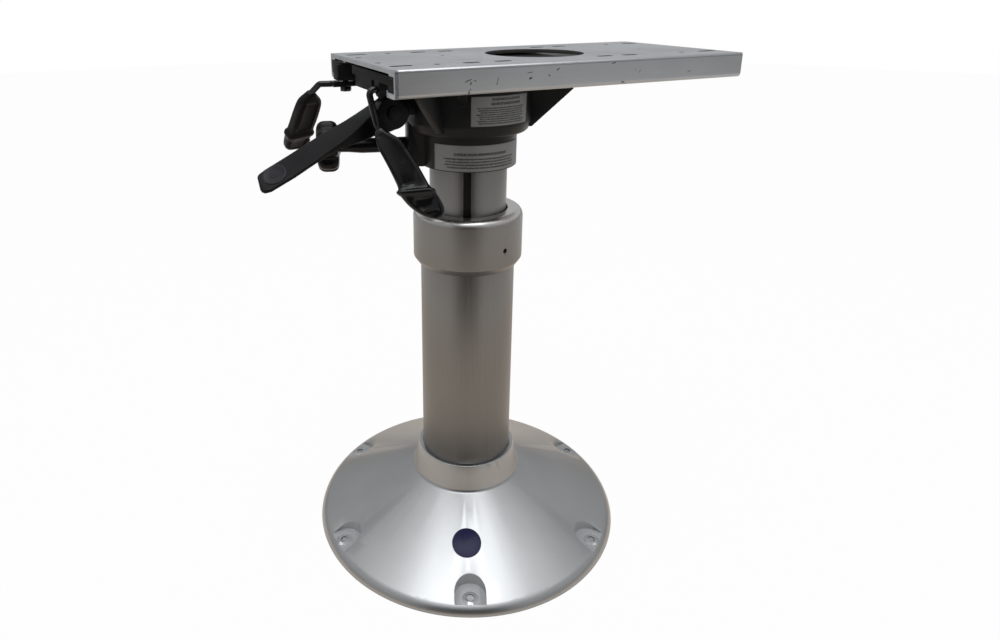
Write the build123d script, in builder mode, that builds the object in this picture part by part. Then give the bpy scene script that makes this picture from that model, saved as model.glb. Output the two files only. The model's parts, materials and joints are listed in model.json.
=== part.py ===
"""Boat seat pedestal: a cast floor base, a gas-lift column, a swivelling seat mount and a slide plate.

The origin is the centre of the base's underside. +Z runs up the column and +X points to the seat's rear,
so the levers reach out towards -X. The column is at its lowest stop and the slide plate at its rear stop.
"""
from build123d import *
from math import atan2, cos, degrees, radians, sin, tan
import os

os.makedirs("parts", exist_ok=True)

# Clearances
fixed_fit = 0.05        # radial, between two pieces of one body
running_fit = 0.05      # radial, between a shaft and its bore
free_gap = 0.3          # between moving pieces that don't guide each other
through = 1.0           # how far a cut runs past the face it opens

# Cast base
base_r = 175.9
rim_bevel = 3.2
rim_land = 1.0
rim_fillet = 1.8
crown_fillet = 20.0
crown_inset = 8.0       # from the rim to where the cone starts to round over
crown_z = 9.8           # height of the cone there
neck_low_wall = 11.2    # from the tube to the neck's outside, at the neck's foot
neck_low_z = 59.2
neck_top_wall = 4.4
neck_top_z = 88.6
neck_fillet = 5.0
neck_lip_round = 1.2
hub_wall = 7.0
base_shell = 6.0
contact_ring_w = 16.0
web_low_z = 6.0
web_t = 8.0
rib_t = 5.0
rib_recess = 1.5
rib_count = 18

# Bolt holes in the base
bolt_count = 6
bolt_inset = 15.4       # from the rim to the circle of holes
bolt_hole_r = 4.25
bolt_turn = -114.3      # direction of the first hole
pocket_floor_z = 9.0
pocket_r = 16.3
pocket_inset = 3.0      # from the hole inwards to the centre of the pocket's round end
pocket_wall = 5.0
seat_boss_h = 1.2
seat_boss_top_r = 5.7
seat_boss_low_r = 8.6

# Round label on the base
label_disc_r = 15.6
label_disc_inset = 62.9  # from the rim to the label's centre
label_disc_turn = -115.5
label_t = 0.4

# Outer tube and collar
tube_r = 50.8
tube_wall = 3.2
post_show = 48.0        # inner tube seen between the collar and the sleeve at the lowest stop
collar_wall = 7.7       # outside the tube
collar_skirt_h = 31.0   # below the tube's top
collar_head_h = 29.0    # above it
collar_low_wall = 2.8
collar_chamfer_h = 7.0
collar_round = 8.5
collar_mouth_gap = 1.2
collar_lip_t = 7.0
collar_mouth_round = 1.5
collar_chamfer_round = 2.0
bush_wall = 3.9
set_screw_drop = 6.1     # below the tube's top
set_screw_turn = -75.5
set_screw_r = 2.5
set_screw_socket = 3.0
set_screw_inset = 2.0
set_screw_socket_depth = 2.5

# Inner tube, its groove and its key
post_r = 40.65
post_wall = 6.0
post_low_z = 120.0
post_top_z = 486.0
groove_turn = -117.4
groove_w = 8.0
groove_depth = 3.0
key_h = 18.0
key_seat_inset = 2.0
guide_ring_h = 30.0
lift_travel = 150.0

# Gas spring
gas_cylinder_r = 14.0
gas_cylinder_low_z = 150.0
gas_bore_r = 11.5
gas_cap_t = 10.0
gas_rod_r = 5.0
gas_stud_r = 4.0
gas_rod_engaged = 25.0
gas_neck_r = 5.9
gas_neck_h = 20.0
piston_h = 12.0
valve_pin_r = 2.5
valve_travel = 5.5
valve_run_out = 1.5
valve_pin_round = 1.0
foot_nut_across = 13.0
foot_nut_h = 4.5

# Top plug, thrust washer and retaining nut
plug_h = 18.0
spigot_r = 12.0
spigot_h = 10.6
thrust_washer_t = 2.0
thrust_washer_bore_r = 20.0
retaining_nut_r = 18.0
retaining_nut_h = 3.4

# Swivel housing
sleeve_r = 49.7
sleeve_cover = 59.0      # how far the sleeve comes down over the inner tube
bush_sleeve_wall = 2.5
sleeve_h = 35.0          # from its low end to the drum
drum_low_r = 59.8
drum_mid_r = 65.2
drum_slope_h = 11.0
drum_r = 66.0
drum_fillet = 5.0
drum_cavity_r = 26.0
housing_web_t = 5.0

# Label plates on the housing
upper_label_lift = 2.0   # above the drum's slope
upper_label_h = 28.0
upper_label_turn = -114.5
upper_label_arc = 55.5
lower_label_lift = 0.8   # above the sleeve's low end
lower_label_h = 26.0
lower_label_turn = -158.0
lower_label_arc = 115.0

# Carriage deck on top of the housing
deck_half_x = 115.0
deck_edge_t = 5.5
deck_t = 7.8
deck_edge_w = 8.5
deck_side_gap = 3.5      # room for a glide strip between the deck and a rail's wall
corner_cut_x = 17.0
corner_y = 22.0
corner_slant = 16.0
nose_h = 10.5            # below the deck
nose_gap = 4.0           # over the release arm
nose_y_near = -35.0
nose_y_far = 12.0
gusset_t = 8.0
gusset_turn = 38.0
small_gusset_turn = 121.0
gusset_lift = 5.0        # above the drum's low edge
gusset_inset = 33.0      # behind the deck's front edge
gusset_side_h = 15.5     # below the deck, at the gusset's outer end
rear_gusset_inset = 1.0
rear_gusset_side_h = 24.5
small_gusset_reach = 82.0
small_gusset_h = 25.8
foot_w = 20.0

# Slide plate
plate_half_y = 95.5
plate_spare = 10.0      # how much longer than the deck and the travel together
plate_gap = 2.0         # over the deck
plate_web_t = 4.1
rail_wall = 3.0
rail_h = 24.4
rail_lip_t = 4.6
rail_lip_w = 20.5       # from the rail's outside
rail_tip_h = 1.5
rail_tip_w = 2.0
rail_thick_w = 14.5
rail_thick_t = 5.8
rail_round = 4.0
edge_bevel = 1.2
slide_travel = 140.0
plate_hole_r = 51.0
slot_inset_y = 32.0
slot_w = 8.0
end_slot_inset = 18.0
end_slot_length = 22.0
mid_slot_length = 18.0
front_pair_x = 42.0
front_pair_far_x = 104.0
inner_pair_x = 72.0
screw_hole_inset = 52.0
screw_hole_r = 3.25
pilot_hole_inset = 9.0
pilot_hole_y = 28.5
stop_pin_r = 3.0
glide_gap = 0.2
glide_lip_gap = 1.0
glide_cover = 0.5

# Height lever
lever_pivot_inset = 19.0  # behind the deck's front edge
lever_pivot_drop = 12.0   # below the release arm
lever_near_y = -40.0
lever_far_y = -13.0
lever_hub_r = 15.5
lever_hub_far_y = -24.0
lever_spacer_r = 9.0
blade_far_y = -15.0
blade_near_y = -38.0
lever_tip_reach = 125.0   # from the pivot, as are the drops below it
lever_tip_far_drop = 50.0
lever_tip_near_drop = 60.0
lever_tip_t = 4.0
lever_mid_reach = 61.0
lever_mid_far_drop = 17.4
lever_mid_near_drop = 29.6
lever_mid_t = 4.4
lever_neck_reach = 40.0
lever_neck_far_drop = 7.2
lever_neck_near_drop = 16.4
lever_neck_t = 10.0
lever_web_reach = 16.0
lever_web_far_rise = 5.2
lever_web_near_rise = 4.2
lever_web_t = 23.6
lever_root_reach = 2.0
lever_root_rise = 14.0
lever_root_t = 31.0
lever_heel_behind = 6.0   # behind the pivot
lever_heel_t = 28.5
pivot_pin_r = 4.0
lug_t = 7.0
release_arm_w = 8.0
release_arm_t = 4.0
arm_gap = 5.6            # over the retaining nut
arm_turn = 196.5        # direction from the valve pin to the lever's hub
arm_end = 5.0
arm_end_inset = 14.0    # short of the lever's pivot
arm_root_l = 14.0
arm_slot_side = 3.0
arm_slot_roof = 1.0
lug_wall = 3.5           # round the pivot pin
lug_neck_x = 3.0         # from the pin's axis forwards to the lug's front edge
lug_neck_h = 10.0
pin_head_r = 6.5
pin_head_t = 2.5

# Swivel lock lever
lock_shaft_y = -50.0
lock_shaft_drop = 6.7    # below the deck
lock_shaft_r = 3.0
lock_bend_out = 8.0      # in front of the deck, as are the other outs
lock_boss_r = 6.3
lock_finger_w = 6.0
lock_finger_t = 4.6
lock_finger_drop = 10.0  # below the inner tube's top
lock_swing = 12.0
finger_room = 1.0
finger_ring_wall = 2.6
lock_knee_out = 3.6
lock_knee_side = 6.5
lock_knee_drop = 30.8
lock_rod_out = 2.3
lock_rod_side = 8.5
lock_rod_drop = 34.3
lock_grip_in = 30.3
lock_grip_side = 55.0
lock_grip_drop = 102.1
lock_grip_way = Vector(0.85, -0.2, 0.49)
rod_bend_r = 5.0
rod_in_grip = 6.0
brake_shoe_r = 4.5
brake_shoe_t = 4.0
brake_shoe_drop = 6.0    # below the inner tube's top

# Grips
grip_w = 27.0
grip_t = 12.0
grip_neck_w = 11.0
grip_neck_t = 9.0
grip_neck_l = 16.0
grip_corner_r = 4.0
grip_rib_share = 0.72   # where the raised rib starts, along the grip
grip_rib_l = 4.0
grip_rib_h = 2.5
grip_taper = 0.6
grip_tip_r = 3.0

# Friction knob
knob_turn = 164.0
knob_lift = 20.5         # above the sleeve's low end
knob_r = 26.0
knob_t = 22.0
knob_far_r = 155.0
knob_stem_r = 7.8
knob_stud_r = 4.0
knob_boss_reach = 64.7
knob_boss_w = 30.0
shoe_t = 4.5
friction_shoe_r = 6.0
lobe_count = 8
lobe_r = 6.0
lobe_proud = 3.0
stud_in_stem = 20.0

# Slide lock lever
slide_pivot_inset = 6.0   # behind the deck's front edge
slide_pivot_side = 9.5    # inside the rail's lip
slide_hub_gap = 1.2       # under the deck's foot
slide_hub_t = 5.0
slide_hub_w = 17.0
slide_hub_reach = 15.0
slide_bolt_r = 3.0
slide_bolt_head_r = 6.0
slide_bolt_head_t = 5.2
slide_rod_r = 3.2
slide_rod_root_side = 4.0  # from the pivot, as are the outs and sides
slide_knee_out = 25.0
slide_knee_side = 10.5
slide_rod_out = 32.0
slide_rod_side = 17.5
slide_rod_drop = 9.1
slide_grip_out = 45.5
slide_grip_side = 59.5
slide_grip_drop = 73.1
slide_grip_way = Vector(1.0, 0.3, 0)

# Radii and heights that follow, from the floor up
crown_r = base_r - crown_inset
bolt_circle_r = base_r - bolt_inset
label_disc_at_r = base_r - label_disc_inset
neck_low_r = tube_r + neck_low_wall
neck_top_r = tube_r + neck_top_wall
cone_slope = degrees(atan2(neck_low_z - crown_z, crown_r - neck_low_r))
collar_r = tube_r + collar_wall
collar_low_r = tube_r + collar_low_wall
sleeve_low_z = post_top_z - sleeve_cover
collar_top_z = sleeve_low_z - post_show
tube_top_z = collar_top_z - collar_head_h
collar_low_z = tube_top_z - collar_skirt_h
set_screw_z = tube_top_z - set_screw_drop
drum_low_z = sleeve_low_z + sleeve_h
drum_mid_z = drum_low_z + drum_slope_h
knob_z = sleeve_low_z + knob_lift
brake_shoe_z = post_top_z - brake_shoe_drop
lock_finger_low_z = post_top_z - lock_finger_drop
housing_floor_z = post_top_z + thrust_washer_t
housing_floor_top_z = housing_floor_z + housing_web_t
release_arm_low_z = housing_floor_top_z + retaining_nut_h + arm_gap
nose_low_z = release_arm_low_z + release_arm_t + nose_gap
deck_low_z = nose_low_z + nose_h
deck_edge_top_z = deck_low_z + deck_edge_t
deck_top_z = deck_low_z + deck_t
web_under_z = deck_top_z + plate_gap
plate_top_z = web_under_z + plate_web_t
rail_low_z = plate_top_z - rail_h
gusset_low_z = drum_low_z + gusset_lift
gusset_side_z = deck_low_z - gusset_side_h
gusset_reach = (deck_half_x - gusset_inset) / cos(radians(gusset_turn))
rear_gusset_reach = deck_half_x - rear_gusset_inset
rear_gusset_side_z = deck_low_z - rear_gusset_side_h
small_gusset_low_z = deck_low_z - small_gusset_h
upper_label_low_z = drum_mid_z + upper_label_lift
upper_label_top_z = upper_label_low_z + upper_label_h
lower_label_low_z = sleeve_low_z + lower_label_lift
lower_label_top_z = lower_label_low_z + lower_label_h
lever_pivot_x = lever_pivot_inset - deck_half_x
lever_pivot_z = release_arm_low_z - lever_pivot_drop
arm_length = -lever_pivot_x - arm_end_inset
lock_shaft_z = deck_low_z - lock_shaft_drop
slide_pivot_x = slide_pivot_inset - deck_half_x
slide_pivot_y = plate_half_y - rail_lip_w - slide_pivot_side
slide_hub_top_z = nose_low_z - slide_hub_gap
slide_rod_z = slide_hub_top_z - slide_rod_r

# Ends and bends of the two rod levers
lock_front = Vector(-deck_half_x, lock_shaft_y, lock_shaft_z)
lock_knee = lock_front + Vector(-lock_knee_out, -lock_knee_side, -lock_knee_drop)
lock_rod_end = lock_front + Vector(-lock_rod_out, -lock_rod_side, -lock_rod_drop)
lock_grip_end = lock_front + Vector(lock_grip_in, -lock_grip_side, -lock_grip_drop)
slide_root = Vector(slide_pivot_x, slide_pivot_y, slide_rod_z)
slide_knee = slide_root + Vector(-slide_knee_out, slide_knee_side, 0)
slide_rod_end = slide_root + Vector(-slide_rod_out, slide_rod_side, -slide_rod_drop)
slide_grip_end = slide_root + Vector(-slide_grip_out, slide_grip_side, -slide_grip_drop)


def cone_height(radius):
    """Height of the base's outer cone at a radius."""
    return neck_low_z - (radius - neck_low_r) * tan(radians(cone_slope))


def under_height(radius):
    """Height of the base's hollow underside at a radius."""
    return cone_height(radius) - base_shell / cos(radians(cone_slope))


def drum_radius(height):
    """Radius of the drum's sloping wall at a height."""
    return drum_mid_r + (drum_r - drum_mid_r) * (height - drum_mid_z) / (deck_low_z - drum_mid_z)


def polar(radius, turn, height):
    """Point at a radius and a direction in degrees."""
    return Vector(radius * cos(radians(turn)), radius * sin(radians(turn)), height)


def grip_solid(start, end, width_direction):
    """Moulded grip with a rounded neck, a raised rib and a tapering tip, from start to end."""
    along = (end - start).normalized()
    length = (end - start).length
    rib_at = length * grip_rib_share

    def section(distance):
        return Plane(origin=start + along * distance, x_dir=width_direction, z_dir=along)

    with BuildPart() as grip:
        with BuildSketch(section(0)):
            RectangleRounded(grip_neck_w, grip_neck_t, grip_corner_r)
        with BuildSketch(section(grip_neck_l)):
            RectangleRounded(grip_w, grip_t, grip_corner_r)
        loft()
        with BuildSketch(section(grip_neck_l)):
            RectangleRounded(grip_w, grip_t, grip_corner_r)
        extrude(amount=rib_at - grip_neck_l)
        with BuildSketch(section(rib_at)):
            RectangleRounded(grip_w + 2 * grip_rib_h, grip_t + 2 * grip_rib_h, grip_corner_r)
        extrude(amount=grip_rib_l)
        with BuildSketch(section(rib_at + grip_rib_l)):
            RectangleRounded(grip_w, grip_t, grip_corner_r)
        with BuildSketch(section(length)):
            RectangleRounded(grip_w * grip_taper, grip_t * grip_taper, grip_tip_r)
        loft()
    return grip.part


# Base casting: cone, neck and web in one piece
hub_r = tube_r + fixed_fit + hub_wall
socket_r = tube_r + fixed_fit
web_top_z = web_low_z + web_t
foot_bore_r = gas_stud_r + fixed_fit
contact_in_r = base_r - contact_ring_w
pocket_at_r = bolt_circle_r - pocket_inset
with BuildPart() as underside_hollow:
    with BuildSketch(Plane.XZ):
        with BuildLine():
            Polyline(
                (hub_r, 0),
                (contact_in_r, 0),
                (contact_in_r, under_height(contact_in_r)),
                (hub_r, under_height(hub_r)),
                close=True,
            )
        make_face()
    revolve(axis=Axis.Z)
    with BuildSketch(Plane.XY.offset(rib_recess)):
        with PolarLocations(0, rib_count, start_angle=bolt_turn):
            Rectangle(contact_in_r, rib_t, align=(Align.MIN, Align.CENTER))
    extrude(amount=neck_low_z, mode=Mode.SUBTRACT)
    with BuildSketch(Plane.XY):
        with PolarLocations(pocket_at_r, bolt_count, start_angle=bolt_turn):
            Circle(pocket_r + pocket_wall)
            Rectangle(base_r, 2 * (pocket_r + pocket_wall), align=(Align.MIN, Align.CENTER))
    extrude(amount=neck_low_z, mode=Mode.SUBTRACT)
with BuildPart() as base_casting:
    with BuildSketch(Plane.XZ) as base_profile:
        with BuildLine():
            Polyline(
                (foot_bore_r, web_low_z),
                (hub_r - web_t, web_low_z),
                (hub_r - web_t, rib_recess),
                (hub_r, 0),
                (base_r - rim_bevel, 0),
                (base_r, rim_bevel),
                (base_r, rim_bevel + rim_land),
                (crown_r, cone_height(crown_r)),
                (neck_low_r, neck_low_z),
                (neck_top_r, neck_top_z),
                (socket_r, neck_top_z),
                (socket_r, web_top_z),
                (foot_bore_r, web_top_z),
                close=True,
            )
        make_face()
        fillet(base_profile.vertices().sort_by_distance((neck_low_r, neck_low_z))[0], neck_fillet)
        fillet(base_profile.vertices().sort_by_distance((crown_r, cone_height(crown_r)))[0], crown_fillet)
        fillet(base_profile.vertices().sort_by_distance((base_r, rim_bevel + rim_land))[0], rim_fillet)
        fillet(base_profile.vertices().sort_by_distance((neck_top_r, neck_top_z))[0], neck_lip_round)
    revolve(axis=Axis.Z)
    add(underside_hollow.part, mode=Mode.SUBTRACT)
    with BuildSketch(Plane.XY.offset(pocket_floor_z)):
        with PolarLocations(pocket_at_r, bolt_count, start_angle=bolt_turn):
            Circle(pocket_r)
            Rectangle(base_r, 2 * pocket_r, align=(Align.MIN, Align.CENTER))
    extrude(amount=neck_low_z, mode=Mode.SUBTRACT)
    with Locations(Plane.XY.offset(pocket_floor_z)):
        with PolarLocations(bolt_circle_r, bolt_count, start_angle=bolt_turn):
            Cone(seat_boss_low_r, seat_boss_top_r, seat_boss_h, align=(Align.CENTER, Align.CENTER, Align.MIN))
    with BuildSketch(Plane.XY):
        with PolarLocations(bolt_circle_r, bolt_count, start_angle=bolt_turn):
            Circle(bolt_hole_r)
    extrude(amount=neck_low_z, mode=Mode.SUBTRACT)
base_casting.part.label = "base_casting"
export_step(base_casting.part, "parts/base_casting.step")

# Round label on the cone
label_disc_plane = Plane(
    origin=polar(label_disc_at_r, label_disc_turn, cone_height(label_disc_at_r)),
    x_dir=polar(1, label_disc_turn + 90, 0),
    z_dir=polar(sin(radians(cone_slope)), label_disc_turn, cos(radians(cone_slope))),
)
with BuildPart() as label_disc:
    with BuildSketch(label_disc_plane):
        Circle(label_disc_r)
    extrude(amount=label_t)
label_disc.part.label = "label_disc"
export_step(label_disc.part, "parts/label_disc.step")

# Outer tube, seated on the base's web
with BuildPart() as outer_tube:
    with BuildSketch(Plane.XY.offset(web_top_z)):
        Circle(tube_r)
        Circle(tube_r - tube_wall, mode=Mode.SUBTRACT)
    extrude(amount=tube_top_z - web_top_z)
outer_tube.part.label = "outer_tube"
export_step(outer_tube.part, "parts/outer_tube.step")

# Collar on the tube's top, holding the guide bush
bush_bore_r = post_r + running_fit
bush_r = bush_bore_r + bush_wall
mouth_r = post_r + collar_mouth_gap
set_screw_way = polar(1, set_screw_turn, 0)
set_screw_inner = polar(tube_r + fixed_fit, set_screw_turn, set_screw_z)
set_screw_outer = polar(collar_r - set_screw_inset, set_screw_turn, set_screw_z)
with BuildPart() as collar:
    with BuildSketch(Plane.XZ) as collar_profile:
        with BuildLine():
            Polyline(
                (socket_r, collar_low_z),
                (collar_low_r, collar_low_z),
                (collar_r, collar_low_z + collar_chamfer_h),
                (collar_r, collar_top_z),
                (mouth_r, collar_top_z),
                (mouth_r, collar_top_z - collar_lip_t),
                (bush_r + fixed_fit, collar_top_z - collar_lip_t),
                (bush_r + fixed_fit, tube_top_z),
                (socket_r, tube_top_z),
                close=True,
            )
        make_face()
        fillet(collar_profile.vertices().sort_by_distance((collar_r, collar_top_z))[0], collar_round)
        fillet(collar_profile.vertices().sort_by_distance((mouth_r, collar_top_z))[0], collar_mouth_round)
        chamfer_top = (collar_r, collar_low_z + collar_chamfer_h)
        fillet(collar_profile.vertices().sort_by_distance(chamfer_top)[0], collar_chamfer_round)
    revolve(axis=Axis.Z)
    with BuildSketch(Plane(origin=(0, 0, set_screw_z), z_dir=set_screw_way)):
        Circle(set_screw_r + fixed_fit)
    extrude(amount=collar_r + through, mode=Mode.SUBTRACT)
collar.part.label = "collar"
export_step(collar.part, "parts/collar.step")

with BuildPart() as collar_set_screw:
    with BuildSketch(Plane(origin=set_screw_inner, z_dir=set_screw_way)):
        Circle(set_screw_r)
    extrude(amount=collar_r - tube_r - set_screw_inset)
    with BuildSketch(Plane(origin=set_screw_outer, z_dir=set_screw_way)):
        RegularPolygon(set_screw_socket / 2, 6)
    extrude(amount=-set_screw_socket_depth, mode=Mode.SUBTRACT)
collar_set_screw.part.label = "collar_set_screw"
export_step(collar_set_screw.part, "parts/collar_set_screw.step")

# Guide bush with a slot for the key that runs in the inner tube's groove
bush_top_z = collar_top_z - collar_lip_t
key_w = groove_w - 2 * running_fit
key_slot_w = key_w + 2 * fixed_fit
key_inner_r = post_r - groove_depth + free_gap
with BuildPart() as guide_bush:
    with BuildSketch(Plane.XY.offset(tube_top_z)):
        Circle(bush_r)
        Circle(bush_bore_r, mode=Mode.SUBTRACT)
        with Locations(Rotation(0, 0, groove_turn)):
            Rectangle(bush_r + through, key_slot_w, align=(Align.MIN, Align.CENTER), mode=Mode.SUBTRACT)
    extrude(amount=bush_top_z - tube_top_z)
guide_bush.part.label = "guide_bush"
export_step(guide_bush.part, "parts/guide_bush.step")

with BuildPart() as guide_key:
    with BuildSketch(Plane.XY.offset(tube_top_z + key_seat_inset)):
        with Locations(Rotation(0, 0, groove_turn)):
            with Locations((key_inner_r, 0)):
                Rectangle(bush_r - key_inner_r - free_gap, key_w, align=(Align.MIN, Align.CENTER))
    extrude(amount=key_h)
guide_key.part.label = "guide_key"
export_step(guide_key.part, "parts/guide_key.step")

# Inner tube with its groove
with BuildPart() as inner_tube:
    with BuildSketch(Plane.XY.offset(post_low_z)):
        Circle(post_r)
        Circle(post_r - post_wall, mode=Mode.SUBTRACT)
        with Locations(Rotation(0, 0, groove_turn)):
            with Locations((post_r - groove_depth, 0)):
                Rectangle(groove_depth + through, groove_w, align=(Align.MIN, Align.CENTER), mode=Mode.SUBTRACT)
    extrude(amount=post_top_z - post_low_z)
inner_tube.part.label = "inner_tube"
export_step(inner_tube.part, "parts/inner_tube.step")

# Guide ring on the inner tube's foot, running inside the outer tube
with BuildPart() as lower_guide_ring:
    with BuildSketch(Plane.XY.offset(post_low_z)):
        Circle(tube_r - tube_wall - running_fit)
        Circle(post_r + fixed_fit, mode=Mode.SUBTRACT)
    extrude(amount=guide_ring_h)
lower_guide_ring.part.label = "lower_guide_ring"
export_step(lower_guide_ring.part, "parts/lower_guide_ring.step")

# Gas spring: cylinder hung from the top plug, rod standing on the base's web
plug_low_z = post_top_z - plug_h
rod_top_z = gas_cylinder_low_z + lift_travel + gas_rod_engaged
with BuildPart() as gas_spring_cylinder:
    with BuildSketch(Plane.XZ):
        with BuildLine():
            Polyline(
                (gas_rod_r + running_fit, gas_cylinder_low_z),
                (gas_cylinder_r, gas_cylinder_low_z),
                (gas_cylinder_r, plug_low_z),
                (gas_neck_r, plug_low_z),
                (gas_neck_r, plug_low_z + gas_neck_h),
                (valve_pin_r + running_fit, plug_low_z + gas_neck_h),
                (valve_pin_r + running_fit, plug_low_z - gas_cap_t),
                (gas_bore_r, plug_low_z - gas_cap_t),
                (gas_bore_r, gas_cylinder_low_z + gas_cap_t),
                (gas_rod_r + running_fit, gas_cylinder_low_z + gas_cap_t),
                close=True,
            )
        make_face()
    revolve(axis=Axis.Z)
gas_spring_cylinder.part.label = "gas_spring_cylinder"
export_step(gas_spring_cylinder.part, "parts/gas_spring_cylinder.step")

with BuildPart() as gas_spring_rod:
    with BuildSketch(Plane.XZ):
        with BuildLine():
            Polyline(
                (0, rib_recess),
                (gas_stud_r, rib_recess),
                (gas_stud_r, web_top_z),
                (gas_rod_r, web_top_z),
                (gas_rod_r, rod_top_z - piston_h),
                (gas_bore_r - running_fit, rod_top_z - piston_h),
                (gas_bore_r - running_fit, rod_top_z),
                (0, rod_top_z),
                close=True,
            )
        make_face()
    revolve(axis=Axis.Z)
gas_spring_rod.part.label = "gas_spring_rod"
export_step(gas_spring_rod.part, "parts/gas_spring_rod.step")

with BuildPart() as foot_nut:
    with BuildSketch(Plane.XY.offset(web_low_z - foot_nut_h)):
        RegularPolygon(foot_nut_across / 2, 6, major_radius=False)
        Circle(gas_stud_r + fixed_fit, mode=Mode.SUBTRACT)
    extrude(amount=foot_nut_h)
foot_nut.part.label = "foot_nut"
export_step(foot_nut.part, "parts/foot_nut.step")

valve_pin_top_z = release_arm_low_z - free_gap
valve_pin_low_z = plug_low_z - gas_cap_t + valve_travel + valve_run_out
with BuildPart() as valve_pin:
    with BuildSketch(Plane.XY.offset(valve_pin_low_z)):
        Circle(valve_pin_r)
    extrude(amount=valve_pin_top_z - valve_pin_low_z)
    fillet(valve_pin.edges().sort_by(Axis.Z)[-1], valve_pin_round)
valve_pin.part.label = "valve_pin"
export_step(valve_pin.part, "parts/valve_pin.step")

# Top plug with the swivel spigot, and what it holds down
spigot_top_z = post_top_z + spigot_h
with BuildPart() as top_plug:
    with BuildSketch(Plane.XZ):
        with BuildLine():
            Polyline(
                (gas_neck_r + fixed_fit, plug_low_z),
                (post_r - post_wall - fixed_fit, plug_low_z),
                (post_r - post_wall - fixed_fit, post_top_z),
                (spigot_r, post_top_z),
                (spigot_r, spigot_top_z),
                (gas_neck_r + fixed_fit, spigot_top_z),
                close=True,
            )
        make_face()
    revolve(axis=Axis.Z)
top_plug.part.label = "top_plug"
export_step(top_plug.part, "parts/top_plug.step")

with BuildPart() as thrust_washer:
    with BuildSketch(Plane.XY.offset(post_top_z)):
        Circle(post_r - free_gap)
        Circle(thrust_washer_bore_r, mode=Mode.SUBTRACT)
    extrude(amount=thrust_washer_t)
thrust_washer.part.label = "thrust_washer"
export_step(thrust_washer.part, "parts/thrust_washer.step")

with BuildPart() as retaining_nut:
    with BuildSketch(Plane.XY.offset(housing_floor_top_z + running_fit)):
        RegularPolygon(retaining_nut_r, 6, major_radius=False)
        Circle(spigot_r + fixed_fit, mode=Mode.SUBTRACT)
    extrude(amount=retaining_nut_h)
retaining_nut.part.label = "retaining_nut"
export_step(retaining_nut.part, "parts/retaining_nut.step")

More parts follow.
